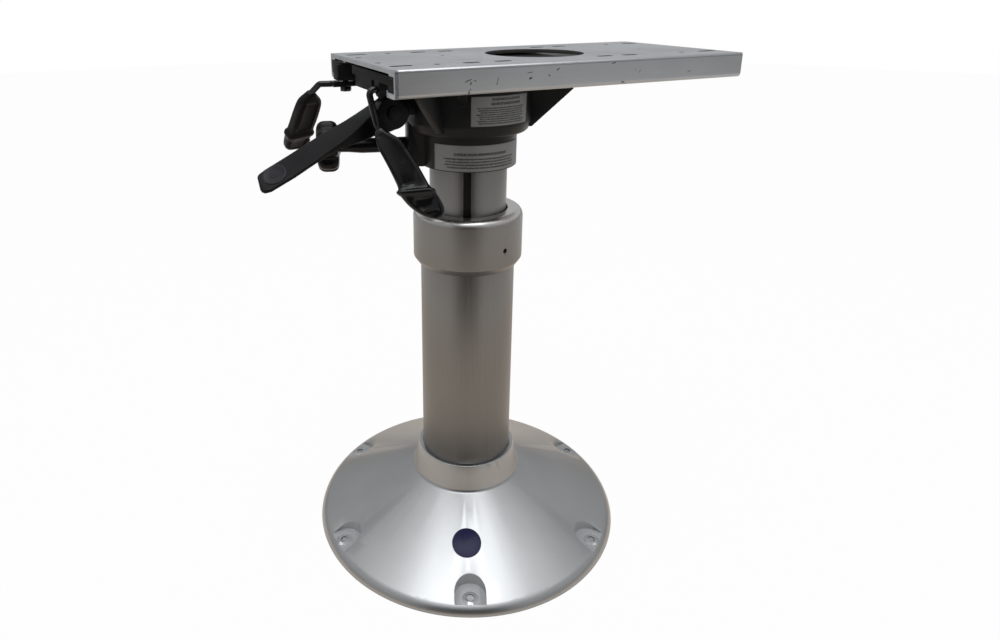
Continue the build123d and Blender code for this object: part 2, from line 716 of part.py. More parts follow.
# Seat mount casting: sleeve, drum, gussets and carriage deck in one piece
sleeve_bush_bore_r = post_r + running_fit
housing_bore_r = sleeve_bush_bore_r + bush_sleeve_wall + fixed_fit
spigot_hole_r = spigot_r + free_gap
deck_low_corner_x = -deck_half_x + corner_cut_x
deck_half_y = plate_half_y - rail_wall - deck_side_gap
lug_far_y = lever_far_y + free_gap + lug_t
lug_r = pivot_pin_r + fixed_fit + lug_wall
finger_ring_r = lock_shaft_r + finger_ring_wall
nose_arm_top_z = nose_low_z - arm_slot_roof
finger_inner_y = -housing_bore_r - brake_shoe_t - fixed_fit
knob_way = polar(1, knob_turn, 0)
finger_slot_l = lock_finger_t + (lock_shaft_z - lock_finger_low_z) * sin(radians(lock_swing)) + 2 * finger_room
with BuildPart() as seat_mount_casting:
    with BuildSketch(Plane.XZ) as housing_profile:
        with BuildLine():
            Polyline(
                (housing_bore_r, sleeve_low_z),
                (sleeve_r, sleeve_low_z),
                (sleeve_r, drum_low_z),
                (drum_low_r, drum_low_z),
                (drum_mid_r, drum_mid_z),
                (drum_r, deck_low_z),
                (drum_cavity_r, deck_low_z),
                (drum_cavity_r, housing_floor_top_z),
                (spigot_hole_r, housing_floor_top_z),
                (spigot_hole_r, housing_floor_z),
                (housing_bore_r, housing_floor_z),
                close=True,
            )
        make_face()
        fillet(housing_profile.vertices().sort_by_distance((drum_low_r, drum_low_z))[0], drum_fillet)
        fillet(housing_profile.vertices().sort_by_distance((drum_mid_r, drum_mid_z))[0], drum_fillet)
    revolve(axis=Axis.Z)
    with BuildSketch(Plane.XY.offset(deck_low_z)):
        with BuildLine():
            Polyline(
                (-deck_half_x, -deck_half_y),
                (deck_half_x, -deck_half_y),
                (deck_half_x, deck_half_y),
                (deck_low_corner_x, deck_half_y),
                (deck_low_corner_x, corner_y + corner_slant),
                (-deck_half_x, corner_y),
                close=True,
            )
        make_face()
    extrude(amount=deck_edge_top_z - deck_low_z)
    with BuildSketch(Plane.XY.offset(deck_edge_top_z)):
        with BuildLine():
            Polyline(
                (-deck_half_x, deck_edge_w - deck_half_y),
                (deck_half_x, deck_edge_w - deck_half_y),
                (deck_half_x, deck_half_y - deck_edge_w),
                (deck_low_corner_x, deck_half_y - deck_edge_w),
                (deck_low_corner_x, corner_y + corner_slant),
                (-deck_half_x, corner_y),
                close=True,
            )
        make_face()
    extrude(amount=deck_top_z - deck_edge_top_z)
    with BuildSketch(Plane.YZ.offset(-deck_half_x)):
        with BuildLine():
            Polyline(
                (nose_y_near, deck_low_z),
                (nose_y_near, nose_low_z),
                (nose_y_far, nose_low_z),
                (nose_y_far, deck_low_z),
                close=True,
            )
        make_face()
    extrude(amount=deck_half_x - sleeve_r)
    with BuildSketch(Plane.XY.offset(nose_low_z)):
        with Locations((slide_pivot_x, slide_pivot_y)):
            Rectangle(foot_w, slide_hub_w)
    extrude(amount=deck_low_z - nose_low_z)
    with BuildSketch(Plane.XY.offset(deck_low_z)):
        with Locations((slide_pivot_x - foot_w / 2, slide_pivot_y)):
            Rectangle(foot_w + corner_slant, slide_hub_w, align=(Align.MIN, Align.CENTER))
    extrude(amount=deck_edge_top_z - deck_low_z)
    with BuildSketch(Plane.YZ.offset(-deck_half_x)):
        with Locations((lock_shaft_y, lock_shaft_z)):
            Circle(lock_boss_r)
            Rectangle(2 * lock_boss_r, deck_low_z - lock_shaft_z, align=(Align.CENTER, Align.MIN))
    extrude(amount=deck_half_x - sleeve_r)
    for turn in (gusset_turn, 180 - gusset_turn, -gusset_turn, gusset_turn - 180):
        with BuildSketch(Plane.XZ.rotated((0, 0, turn))):
            with BuildLine():
                Polyline(
                    (drum_low_r, deck_low_z),
                    (drum_low_r, gusset_low_z),
                    (drum_mid_r, gusset_low_z),
                    (gusset_reach, gusset_side_z),
                    (gusset_reach, deck_low_z),
                    close=True,
                )
            make_face()
        extrude(amount=gusset_t / 2, both=True)
    with BuildSketch(Plane.XZ):
        with BuildLine():
            Polyline(
                (drum_low_r, deck_low_z),
                (drum_low_r, gusset_low_z),
                (drum_mid_r, gusset_low_z),
                (rear_gusset_reach, rear_gusset_side_z),
                (rear_gusset_reach, deck_low_z),
                close=True,
            )
        make_face()
    extrude(amount=gusset_t / 2, both=True)
    for turn in (small_gusset_turn, -small_gusset_turn):
        with BuildSketch(Plane.XZ.rotated((0, 0, turn))):
            with BuildLine():
                Polyline(
                    (drum_low_r, deck_low_z),
                    (drum_low_r, small_gusset_low_z),
                    (drum_r, small_gusset_low_z),
                    (small_gusset_reach, gusset_side_z),
                    (small_gusset_reach, deck_low_z),
                    close=True,
                )
            make_face()
        extrude(amount=gusset_t / 2, both=True)
    with BuildSketch(Plane.XZ.offset(-lug_far_y)):
        with BuildLine():
            Polyline(
                (-sleeve_r, nose_low_z),
                (-sleeve_r, lever_pivot_z - lever_hub_r / 2),
                (lever_pivot_x, lever_pivot_z - lug_r),
                (lever_pivot_x - lug_r, lever_pivot_z),
                (lever_pivot_x - lug_neck_x, lever_pivot_z + lug_neck_h),
                (lever_pivot_x - lug_neck_x, nose_low_z),
                close=True,
            )
        make_face()
    extrude(amount=lug_t)
    with BuildSketch(Plane.XY.offset(sleeve_low_z)):
        with Locations(Rotation(0, 0, knob_turn)):
            with Locations((post_r, 0)):
                Rectangle(knob_boss_reach - post_r, knob_boss_w, align=(Align.MIN, Align.CENTER))
        Circle(drum_mid_r, mode=Mode.INTERSECT)
        Circle(housing_bore_r, mode=Mode.SUBTRACT)
    extrude(amount=drum_mid_z - sleeve_low_z)
    with BuildSketch(Plane.XY.offset(housing_floor_top_z + retaining_nut_h)):
        with Locations(Rotation(0, 0, arm_turn)):
            Rectangle(drum_r + through, release_arm_w + 2 * arm_slot_side, align=(Align.MIN, Align.CENTER))
    extrude(amount=nose_arm_top_z - housing_floor_top_z - retaining_nut_h, mode=Mode.SUBTRACT)
    with BuildSketch(Plane.XY.offset(lock_finger_low_z - finger_room)):
        with Locations((0, finger_inner_y + finger_room)):
            Rectangle(lock_finger_w + 2 * finger_room, finger_slot_l, align=(Align.CENTER, Align.MAX))
    extrude(amount=deck_low_z - lock_finger_low_z + finger_room, mode=Mode.SUBTRACT)
    with BuildSketch(Plane.XY.offset(lock_shaft_z - finger_ring_r - finger_room)):
        with Locations((0, lock_shaft_y)):
            Rectangle(lock_finger_w + 2 * finger_room, 2 * (finger_ring_r + finger_room))
    extrude(amount=deck_low_z - lock_shaft_z + finger_ring_r + finger_room, mode=Mode.SUBTRACT)
    with BuildSketch(Plane.XZ):
        with Locations((0, brake_shoe_z)):
            Circle(brake_shoe_r + fixed_fit)
    extrude(amount=-finger_inner_y + finger_room, mode=Mode.SUBTRACT)
    with BuildSketch(Plane.YZ.offset(-deck_half_x)):
        with Locations((lock_shaft_y, lock_shaft_z)):
            Circle(lock_shaft_r + running_fit)
    extrude(amount=deck_half_x + lock_finger_w, mode=Mode.SUBTRACT)
    with BuildSketch(Plane(origin=(0, 0, knob_z), z_dir=knob_way)):
        Circle(knob_stud_r + running_fit)
    extrude(amount=knob_boss_reach + through, mode=Mode.SUBTRACT)
    with BuildSketch(Plane(origin=(0, 0, knob_z), z_dir=knob_way)):
        Circle(friction_shoe_r + fixed_fit)
    extrude(amount=housing_bore_r + shoe_t + free_gap, mode=Mode.SUBTRACT)
    with BuildSketch(Plane.XZ.offset(-lug_far_y)):
        with Locations((lever_pivot_x, lever_pivot_z)):
            Circle(pivot_pin_r + fixed_fit)
    extrude(amount=lug_t, mode=Mode.SUBTRACT)
    with BuildSketch(Plane.XY.offset(nose_low_z)):
        with Locations((slide_pivot_x, slide_pivot_y)):
            Circle(slide_bolt_r + fixed_fit)
    extrude(amount=deck_low_z - nose_low_z, mode=Mode.SUBTRACT)
seat_mount_casting.part.label = "seat_mount_casting"
export_step(seat_mount_casting.part, "parts/seat_mount_casting.step")

# Swivel bush between the casting and the inner tube
with BuildPart() as swivel_bush:
    with BuildSketch(Plane.XY.offset(sleeve_low_z)):
        Circle(sleeve_bush_bore_r + bush_sleeve_wall)
        Circle(sleeve_bush_bore_r, mode=Mode.SUBTRACT)
    extrude(amount=post_top_z - sleeve_low_z - free_gap)
swivel_bush.part.label = "swivel_bush"
export_step(swivel_bush.part, "parts/swivel_bush.step")

# Label plates wrapped on the drum and on the sleeve
with BuildPart() as upper_label:
    with BuildSketch(Plane.XZ.rotated((0, 0, upper_label_turn))):
        with BuildLine():
            Polyline(
                (drum_radius(upper_label_low_z) + fixed_fit, upper_label_low_z),
                (drum_radius(upper_label_low_z) + fixed_fit + label_t, upper_label_low_z),
                (drum_radius(upper_label_top_z) + fixed_fit + label_t, upper_label_top_z),
                (drum_radius(upper_label_top_z) + fixed_fit, upper_label_top_z),
                close=True,
            )
        make_face()
    revolve(axis=Axis.Z, revolution_arc=upper_label_arc)
upper_label.part.label = "upper_label"
export_step(upper_label.part, "parts/upper_label.step")

with BuildPart() as lower_label:
    with BuildSketch(Plane.XZ.rotated((0, 0, lower_label_turn))):
        with BuildLine():
            Polyline(
                (sleeve_r + fixed_fit, lower_label_low_z),
                (sleeve_r + fixed_fit + label_t, lower_label_low_z),
                (sleeve_r + fixed_fit + label_t, lower_label_top_z),
                (sleeve_r + fixed_fit, lower_label_top_z),
                close=True,
            )
        make_face()
    revolve(axis=Axis.Z, revolution_arc=lower_label_arc)
lower_label.part.label = "lower_label"
export_step(lower_label.part, "parts/lower_label.step")

# Slide plate: one extrusion with two channel rails, then its holes
plate_length = 2 * deck_half_x + slide_travel + plate_spare
plate_front_x = -deck_half_x
plate_offset = plate_front_x + plate_length / 2
rail_lip_y = plate_half_y - rail_lip_w
rail_thick_y = plate_half_y - rail_thick_w
slot_y = plate_half_y - slot_inset_y
end_slot_x = plate_length / 2 - end_slot_inset
screw_hole_x = plate_length / 2 - screw_hole_inset
pilot_hole_x = pilot_hole_inset - plate_length / 2
channel_y = plate_half_y - rail_wall
lip_top_z = rail_low_z + rail_lip_t
thick_low_z = plate_top_z - rail_thick_t
with BuildPart() as slide_plate:
    with BuildSketch(Plane.YZ.offset(plate_front_x)) as rail_section:
        with BuildLine():
            Polyline(
                (0, plate_top_z),
                (plate_half_y - edge_bevel, plate_top_z),
                (plate_half_y, plate_top_z - edge_bevel),
                (plate_half_y, rail_low_z),
                (rail_lip_y, rail_low_z),
                (rail_lip_y, lip_top_z + rail_tip_h),
                (rail_lip_y + rail_tip_w, lip_top_z + rail_tip_h),
                (rail_lip_y + rail_tip_w, lip_top_z),
                (channel_y, lip_top_z),
                (channel_y, thick_low_z),
                (rail_thick_y, thick_low_z),
                (rail_thick_y, web_under_z),
                (0, web_under_z),
                close=True,
            )
        make_face()
        fillet(rail_section.vertices().sort_by_distance((plate_half_y, rail_low_z))[0], rail_round)
        mirror(about=Plane.YZ)
    extrude(amount=plate_length)
    with BuildSketch(Plane.XY.offset(web_under_z)):
        with Locations((plate_offset, 0)):
            Circle(plate_hole_r)
            for side in (-slot_y, slot_y):
                with Locations((-end_slot_x, side), (end_slot_x, side)):
                    SlotOverall(end_slot_length, slot_w)
                with Locations((-front_pair_far_x, side), (front_pair_x, side)):
                    SlotOverall(mid_slot_length, slot_w)
                with Locations((-inner_pair_x, side), (inner_pair_x, side)):
                    SlotOverall(mid_slot_length, slot_w)
                with Locations((-screw_hole_x, side), (screw_hole_x, side)):
                    Circle(screw_hole_r)
            with Locations((pilot_hole_x, -pilot_hole_y), (pilot_hole_x, pilot_hole_y)):
                Circle(screw_hole_r)
    extrude(amount=plate_web_t, mode=Mode.SUBTRACT)
slide_plate.part.label = "slide_plate"
export_step(slide_plate.part, "parts/slide_plate.step")

# Stop pins under the rails, one at the front far corner and two at the rear
stop_y = (rail_thick_y + channel_y) / 2
front_stop_x = deck_low_corner_x - stop_pin_r - running_fit
rear_stop_x = deck_half_x + slide_travel + stop_pin_r + running_fit
with BuildPart() as slide_stop_pins:
    with BuildSketch(Plane.XY.offset(lip_top_z + rail_tip_h)):
        with Locations((front_stop_x, stop_y), (rear_stop_x, stop_y), (rear_stop_x, -stop_y)):
            Circle(stop_pin_r)
    extrude(amount=thick_low_z - lip_top_z - rail_tip_h)
slide_stop_pins.part.label = "slide_stop_pins"
export_step(slide_stop_pins.part, "parts/slide_stop_pins.step")

# Glide strips wrapped round the deck's long edges
glide_low_z = lip_top_z + glide_gap
glide_top_z = thick_low_z - glide_gap / 2
glide_out_y = channel_y - glide_gap / 2
glide_in_y = rail_lip_y + rail_tip_w + glide_lip_gap
glide_top_y = deck_half_y - deck_edge_w + glide_cover


def glide_strip(side, start_x):
    """Channel-shaped strip on one edge of the deck; side is 1 for +Y and -1 for -Y."""
    with BuildPart() as strip:
        with BuildSketch(Plane.YZ.offset(start_x)):
            with BuildLine():
                Polyline(
                    (side * glide_in_y, glide_low_z),
                    (side * glide_out_y, glide_low_z),
                    (side * glide_out_y, glide_top_z),
                    (side * glide_top_y, glide_top_z),
                    (side * glide_top_y, deck_edge_top_z),
                    (side * deck_half_y, deck_edge_top_z),
                    (side * deck_half_y, deck_low_z),
                    (side * glide_in_y, deck_low_z),
                    close=True,
                )
            make_face()
        extrude(amount=deck_half_x - start_x)
    return strip.part


with BuildPart() as glide_near:
    add(glide_strip(-1, -deck_half_x))
glide_near.part.label = "glide_near"
export_step(glide_near.part, "parts/glide_near.step")

with BuildPart() as glide_far:
    add(glide_strip(1, deck_low_corner_x))
glide_far.part.label = "glide_far"
export_step(glide_far.part, "parts/glide_far.step")

# Steel release arm from the lever's hub to the gas spring's valve pin
with BuildPart() as release_arm:
    with BuildSketch(Plane.XY.offset(release_arm_low_z)):
        with Locations(Rotation(0, 0, arm_turn)):
            with Locations((-arm_end, 0)):
                Rectangle(arm_length + arm_end, release_arm_w, align=(Align.MIN, Align.CENTER))
        with Locations(polar(arm_length, arm_turn, 0)):
            Rectangle(arm_root_l, release_arm_w, align=(Align.MAX, Align.CENTER))
    extrude(amount=release_arm_t)
release_arm.part.label = "release_arm"
export_step(release_arm.part, "parts/release_arm.step")

# Height lever: flat paddle at the tip turning into a deep web at its pivot hub
lever_stations = (
    # reach in front of the pivot, far and near edge above it, thickness
    (lever_tip_reach, -lever_tip_far_drop, -lever_tip_near_drop, lever_tip_t),
    (lever_mid_reach, -lever_mid_far_drop, -lever_mid_near_drop, lever_mid_t),
    (lever_neck_reach, -lever_neck_far_drop, -lever_neck_near_drop, lever_neck_t),
    (lever_web_reach, lever_web_far_rise, lever_web_near_rise, lever_web_t),
    (lever_root_reach, lever_root_rise, lever_root_rise, lever_root_t),
    (-lever_heel_behind, lever_root_rise, lever_root_rise, lever_heel_t),
)
with BuildPart() as height_lever:
    for reach, far_rise, near_rise, thickness in lever_stations:
        with BuildSketch(Plane.YZ.offset(lever_pivot_x - reach)):
            Polygon(
                (blade_far_y, lever_pivot_z + far_rise),
                (blade_near_y, lever_pivot_z + near_rise),
                (blade_near_y, lever_pivot_z + near_rise - thickness),
                (blade_far_y, lever_pivot_z + far_rise - thickness),
                align=None,
            )
    loft(ruled=True)
    with BuildSketch(Plane.XZ.offset(-lever_hub_far_y)):
        with Locations((lever_pivot_x, lever_pivot_z)):
            Circle(lever_hub_r)
    extrude(amount=lever_hub_far_y - lever_near_y)
    with BuildSketch(Plane.XZ.offset(-lever_far_y)):
        with Locations((lever_pivot_x, lever_pivot_z)):
            Circle(lever_spacer_r)
    extrude(amount=lever_far_y - lever_hub_far_y)
    with BuildSketch(Plane.XZ.offset(-lever_far_y)):
        with Locations((lever_pivot_x, lever_pivot_z)):
            Circle(pivot_pin_r + running_fit)
    extrude(amount=lever_far_y - lever_near_y, mode=Mode.SUBTRACT)
    add(release_arm.part, mode=Mode.SUBTRACT)
height_lever.part.label = "height_lever"
export_step(height_lever.part, "parts/height_lever.step")

# Pivot pin of the height lever, with its head outside the hub
with BuildPart() as lever_pivot_pin:
    with BuildSketch(Plane.XZ.offset(-lug_far_y)):
        with Locations((lever_pivot_x, lever_pivot_z)):
            Circle(pivot_pin_r)
    extrude(amount=lug_far_y - lever_near_y + free_gap)
    with BuildSketch(Plane.XZ.offset(free_gap - lever_near_y)):
        with Locations((lever_pivot_x, lever_pivot_z)):
            Circle(pin_head_r)
    extrude(amount=pin_head_t)
lever_pivot_pin.part.label = "lever_pivot_pin"
export_step(lever_pivot_pin.part, "parts/lever_pivot_pin.step")

# Swivel lock lever: bent rod with its shaft along X, a finger inside the drum and a grip
with BuildPart() as swivel_lever_rod:
    with BuildLine() as lock_path:
        FilletPolyline(
            (lock_finger_w / 2, lock_shaft_y, lock_shaft_z),
            (-deck_half_x - lock_bend_out, lock_shaft_y, lock_shaft_z),
            lock_knee,
            lock_rod_end + (lock_grip_end - lock_rod_end).normalized() * rod_in_grip,
            radius=rod_bend_r,
        )
    with BuildSketch(Plane(origin=lock_path.line @ 0, z_dir=lock_path.line % 0)):
        Circle(lock_shaft_r)
    sweep()
swivel_lever_rod.part.label = "swivel_lever_rod"
export_step(swivel_lever_rod.part, "parts/swivel_lever_rod.step")

# Grips on the two rod levers
with BuildPart() as swivel_lever_grip:
    add(grip_solid(lock_rod_end, lock_grip_end, lock_grip_way))
    add(swivel_lever_rod.part, mode=Mode.SUBTRACT)
swivel_lever_grip.part.label = "swivel_lever_grip"
export_step(swivel_lever_grip.part, "parts/swivel_lever_grip.step")

# Finger on the shaft's inner end and the brake shoe it presses
with BuildPart() as lock_finger:
    with BuildSketch(Plane.YZ.offset(-lock_finger_w / 2)):
        with Locations((finger_inner_y, lock_finger_low_z)):
            Rectangle(lock_finger_t, lock_shaft_z - lock_finger_low_z, align=(Align.MAX, Align.MIN))
        with Locations((lock_shaft_y, lock_shaft_z)):
            Circle(finger_ring_r)
            Circle(lock_shaft_r + fixed_fit, mode=Mode.SUBTRACT)
    extrude(amount=lock_finger_w)
lock_finger.part.label = "lock_finger"
export_step(lock_finger.part, "parts/lock_finger.step")

with BuildPart() as brake_shoe:
    with BuildSketch(Plane.XZ.offset(housing_bore_r)):
        with Locations((0, brake_shoe_z)):
            Circle(brake_shoe_r)
    extrude(amount=brake_shoe_t)
brake_shoe.part.label = "brake_shoe"
export_step(brake_shoe.part, "parts/brake_shoe.step")

# Slide lock lever: hub plate on a vertical bolt, bent rod and grip
with BuildPart() as slide_lever_rod:
    with BuildLine() as slide_path:
        FilletPolyline(
            (slide_pivot_x - slide_bolt_head_r, slide_pivot_y + slide_rod_root_side, slide_rod_z),
            slide_knee,
            slide_rod_end,
            slide_rod_end + (slide_grip_end - slide_rod_end).normalized() * rod_in_grip,
            radius=rod_bend_r,
        )
    with BuildSketch(Plane(origin=slide_path.line @ 0, z_dir=slide_path.line % 0)):
        Circle(slide_rod_r)
    sweep()
slide_lever_rod.part.label = "slide_lever_rod"
export_step(slide_lever_rod.part, "parts/slide_lever_rod.step")

with BuildPart() as slide_lever_hub:
    with BuildSketch(Plane.XY.offset(slide_hub_top_z - slide_hub_t)):
        with Locations((slide_pivot_x, slide_pivot_y)):
            Rectangle(2 * slide_hub_reach, slide_hub_w)
            Circle(slide_bolt_r + running_fit, mode=Mode.SUBTRACT)
    extrude(amount=slide_hub_t)
    add(slide_lever_rod.part, mode=Mode.SUBTRACT)
slide_lever_hub.part.label = "slide_lever_hub"
export_step(slide_lever_hub.part, "parts/slide_lever_hub.step")

with BuildPart() as slide_lever_grip:
    add(grip_solid(slide_rod_end, slide_grip_end, slide_grip_way))
    add(slide_lever_rod.part, mode=Mode.SUBTRACT)
slide_lever_grip.part.label = "slide_lever_grip"
export_step(slide_lever_grip.part, "parts/slide_lever_grip.step")

with BuildPart() as slide_pivot_bolt:
    with BuildSketch(Plane.XY.offset(slide_hub_top_z - slide_hub_t - free_gap - slide_bolt_head_t)):
        with Locations((slide_pivot_x, slide_pivot_y)):
            RegularPolygon(slide_bolt_head_r, 6)
    extrude(amount=slide_bolt_head_t)
    with BuildSketch(Plane.XY.offset(slide_hub_top_z - slide_hub_t - free_gap)):
        with Locations((slide_pivot_x, slide_pivot_y)):
            Circle(slide_bolt_r)
    extrude(amount=deck_low_z - slide_hub_top_z + slide_hub_t)
slide_pivot_bolt.part.label = "slide_pivot_bolt"
export_step(slide_pivot_bolt.part, "parts/slide_pivot_bolt.step")

# Friction knob with its stem, the steel stud in it and the shoe it presses on the bush
knob_plane = Plane(origin=polar(knob_far_r, knob_turn, knob_z), z_dir=knob_way)
knob_boss_plane = Plane(origin=polar(knob_boss_reach, knob_turn, knob_z), z_dir=knob_way)
with BuildPart() as friction_knob:
    with BuildSketch(knob_plane):
        Circle(knob_r - lobe_proud)
        with PolarLocations(knob_r - lobe_r, lobe_count):
            Circle(lobe_r)
    extrude(amount=-knob_t)
    with BuildSketch(knob_plane):
        Circle(knob_stem_r)
    extrude(amount=-knob_far_r + knob_boss_reach + free_gap)
    with BuildSketch(knob_boss_plane):
        Circle(knob_stud_r + fixed_fit)
    extrude(amount=stud_in_stem, mode=Mode.SUBTRACT)
friction_knob.part.label = "friction_knob"
export_step(friction_knob.part, "parts/friction_knob.step")

shoe_outer_r = housing_bore_r + shoe_t
stud_inner = polar(shoe_outer_r + free_gap, knob_turn, knob_z)
shoe_inner = polar(housing_bore_r, knob_turn, knob_z)
with BuildPart() as knob_stud:
    with BuildSketch(Plane(origin=stud_inner, z_dir=knob_way)):
        Circle(knob_stud_r)
    extrude(amount=knob_boss_reach + stud_in_stem - shoe_outer_r - free_gap)
knob_stud.part.label = "knob_stud"
export_step(knob_stud.part, "parts/knob_stud.step")

with BuildPart() as friction_shoe:
    with BuildSketch(Plane(origin=shoe_inner, z_dir=knob_way)):
        Circle(friction_shoe_r)
    extrude(amount=shoe_t)
friction_shoe.part.label = "friction_shoe"
export_step(friction_shoe.part, "parts/friction_shoe.step")
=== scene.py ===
"""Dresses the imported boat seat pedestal: shapes, finishes, lights and camera.

Everything is in metres in the frame of the solids: the origin is under the middle of the base, +Z runs up the
column and +X points to the rear of the seat. Sizes written in millimetres go through mm().
"""
import json
from math import acos, atan2, cos, hypot, pi, radians, sin, tan

import bmesh
import bpy
from bpy.props import FloatProperty, FloatVectorProperty, IntProperty, PointerProperty
from mathutils import Matrix, Vector


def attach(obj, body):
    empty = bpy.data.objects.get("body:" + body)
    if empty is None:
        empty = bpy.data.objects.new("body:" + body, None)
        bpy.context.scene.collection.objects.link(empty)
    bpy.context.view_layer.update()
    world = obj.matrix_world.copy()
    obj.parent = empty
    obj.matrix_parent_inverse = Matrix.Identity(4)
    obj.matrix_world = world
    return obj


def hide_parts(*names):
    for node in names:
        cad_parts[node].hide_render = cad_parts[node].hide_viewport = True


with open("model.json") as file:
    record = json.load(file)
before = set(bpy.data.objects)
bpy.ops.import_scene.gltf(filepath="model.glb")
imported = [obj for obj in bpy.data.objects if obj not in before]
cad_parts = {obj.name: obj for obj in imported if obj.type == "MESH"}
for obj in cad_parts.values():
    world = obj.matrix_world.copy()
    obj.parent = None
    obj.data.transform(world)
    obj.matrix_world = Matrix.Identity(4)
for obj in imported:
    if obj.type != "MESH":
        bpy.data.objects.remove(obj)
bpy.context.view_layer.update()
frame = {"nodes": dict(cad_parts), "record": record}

bl_info = {
    "name": "Boat seat pedestal",
    "version": (1, 0, 0),
    "blender": (4, 5, 0),
    "location": "View3D > Sidebar > Pedestal",
    "description": "Builds the detailed pieces and finishes of a boat seat pedestal",
    "category": "Object",
}

NODES = frame["nodes"]


def mm(*values):
    """Millimetres to metres: one number gives a number, three give a vector."""
    if len(values) == 1:
        return values[0] * 0.001
    return Vector(values) * 0.001


METRE = 1000


def in_mm(place):
    """A vector in metres, given in millimetres."""
    return place * METRE


class PedestalSizes(bpy.types.PropertyGroup):
    base_round: FloatProperty(
        name="Base edge rounding", description="Bevel on the cast base", default=mm(0.6), unit="LENGTH")
    mount_round: FloatProperty(
        name="Mount edge rounding", description="Bevel on the seat mount", default=mm(0.8), unit="LENGTH")
    tube_round: FloatProperty(
        name="Tube edge rounding", description="Bevel on tubes and collar", default=mm(0.3), unit="LENGTH")
    plate_round: FloatProperty(
        name="Plate edge rounding", description="Bevel on the slide plate", default=mm(0.25), unit="LENGTH")
    bolt_round: FloatProperty(
        name="Bolt edge rounding", description="Bevel on bolts, pins and lever hubs",
        default=mm(0.4), unit="LENGTH")
    fine_round: FloatProperty(
        name="Fine edge rounding", description="Bevel on round label and set screw",
        default=mm(0.1), unit="LENGTH")
    knob_lobes: IntProperty(name="Knob lobes", description="Lobes round the friction knob", default=8, min=3)


class PedestalColours(bpy.types.PropertyGroup):
    cast_silver: FloatVectorProperty(
        name="Cast silver", description="Satin aluminium of the base",
        default=(0.42, 0.427, 0.435), subtype="COLOR")
    tube_silver: FloatVectorProperty(
        name="Tube silver", description="Brushed aluminium of the column",
        default=(0.212, 0.206, 0.199), subtype="COLOR")
    plate_silver: FloatVectorProperty(
        name="Plate silver", description="Extruded aluminium of the slide plate",
        default=(0.40, 0.409, 0.419), subtype="COLOR")
    cast_black: FloatVectorProperty(
        name="Cast black", description="Paint of the seat mount", default=(0.011, 0.011, 0.0115), subtype="COLOR")
    grip_black: FloatVectorProperty(
        name="Grip black", description="Moulded plastic of levers and knob",
        default=(0.0052, 0.0052, 0.0060), subtype="COLOR")
    label_blue: FloatVectorProperty(
        name="Label blue", description="Round label on the base", default=(0.011, 0.012, 0.062), subtype="COLOR")
    label_silver: FloatVectorProperty(
        name="Label silver", description="Label plates on the housing",
        default=(0.215, 0.212, 0.20), subtype="COLOR")


# Shader maths


class Wire:
    """A socket that can be added, multiplied and compared, one Math node for each step."""

    def __init__(self, tree, socket):
        self.tree = tree
        self.socket = socket

    def maths(self, operation, *values):
        """A Math node on the given values, in their order."""
        return self.tree.add("ShaderNodeMath", dict(enumerate(values)), operation=operation)

    def __add__(self, other):
        return self.maths("ADD", self, other)

    __radd__ = __add__

    def __sub__(self, other):
        return self.maths("SUBTRACT", self, other)

    def __rsub__(self, other):
        return self.maths("SUBTRACT", other, self)

    def __mul__(self, other):
        return self.maths("MULTIPLY", self, other)

    __rmul__ = __mul__

    def __truediv__(self, other):
        return self.maths("DIVIDE", self, other)

    def __gt__(self, other):
        return self.maths("GREATER_THAN", self, other)

    def __lt__(self, other):
        return self.maths("LESS_THAN", self, other)

    def band(self, low, high):
        """1 between two values, 0 outside."""
        return (self > low) * (self < high)


class NodeTree:
    """The shader nodes of a material or a world."""

    def __init__(self, owner):
        owner.use_nodes = True
        self.nodes = owner.node_tree.nodes
        self.links = owner.node_tree.links

    def fill(self, node, values):
        """Sets or links a node's sockets; colours have three values."""
        for key, value in values.items():
            socket = node.inputs[key]
            if isinstance(value, Wire):
                self.links.new(value.socket, socket)
            elif socket.type == "RGBA":
                socket.default_value = (*value[:3], 1)
            else:
                socket.default_value = value

    def add(self, kind, values, output=0, **settings):
        """A new node with its settings and its sockets filled; gives one of its outputs."""
        node = self.nodes.new(kind)
        for key, value in settings.items():
            setattr(node, key, value)
        self.fill(node, values)
        return Wire(self, node.outputs[output])

    def white_rays(self):
        """1 for the rays that see a white studio: from the camera, mirrored or passing through."""
        path = self.add("ShaderNodeLightPath", {}).socket.node
        share = Wire(self, path.outputs["Is Camera Ray"])
        for kind in ("Is Glossy Ray", "Is Transmission Ray"):
            share = share.maths("MAXIMUM", share, Wire(self, path.outputs[kind]))
        return share

    def show(self, surface, output):
        """Sends a shader to the tree's output node."""
        self.links.new(surface.socket, self.nodes[output].inputs["Surface"])


FINISHES = {}


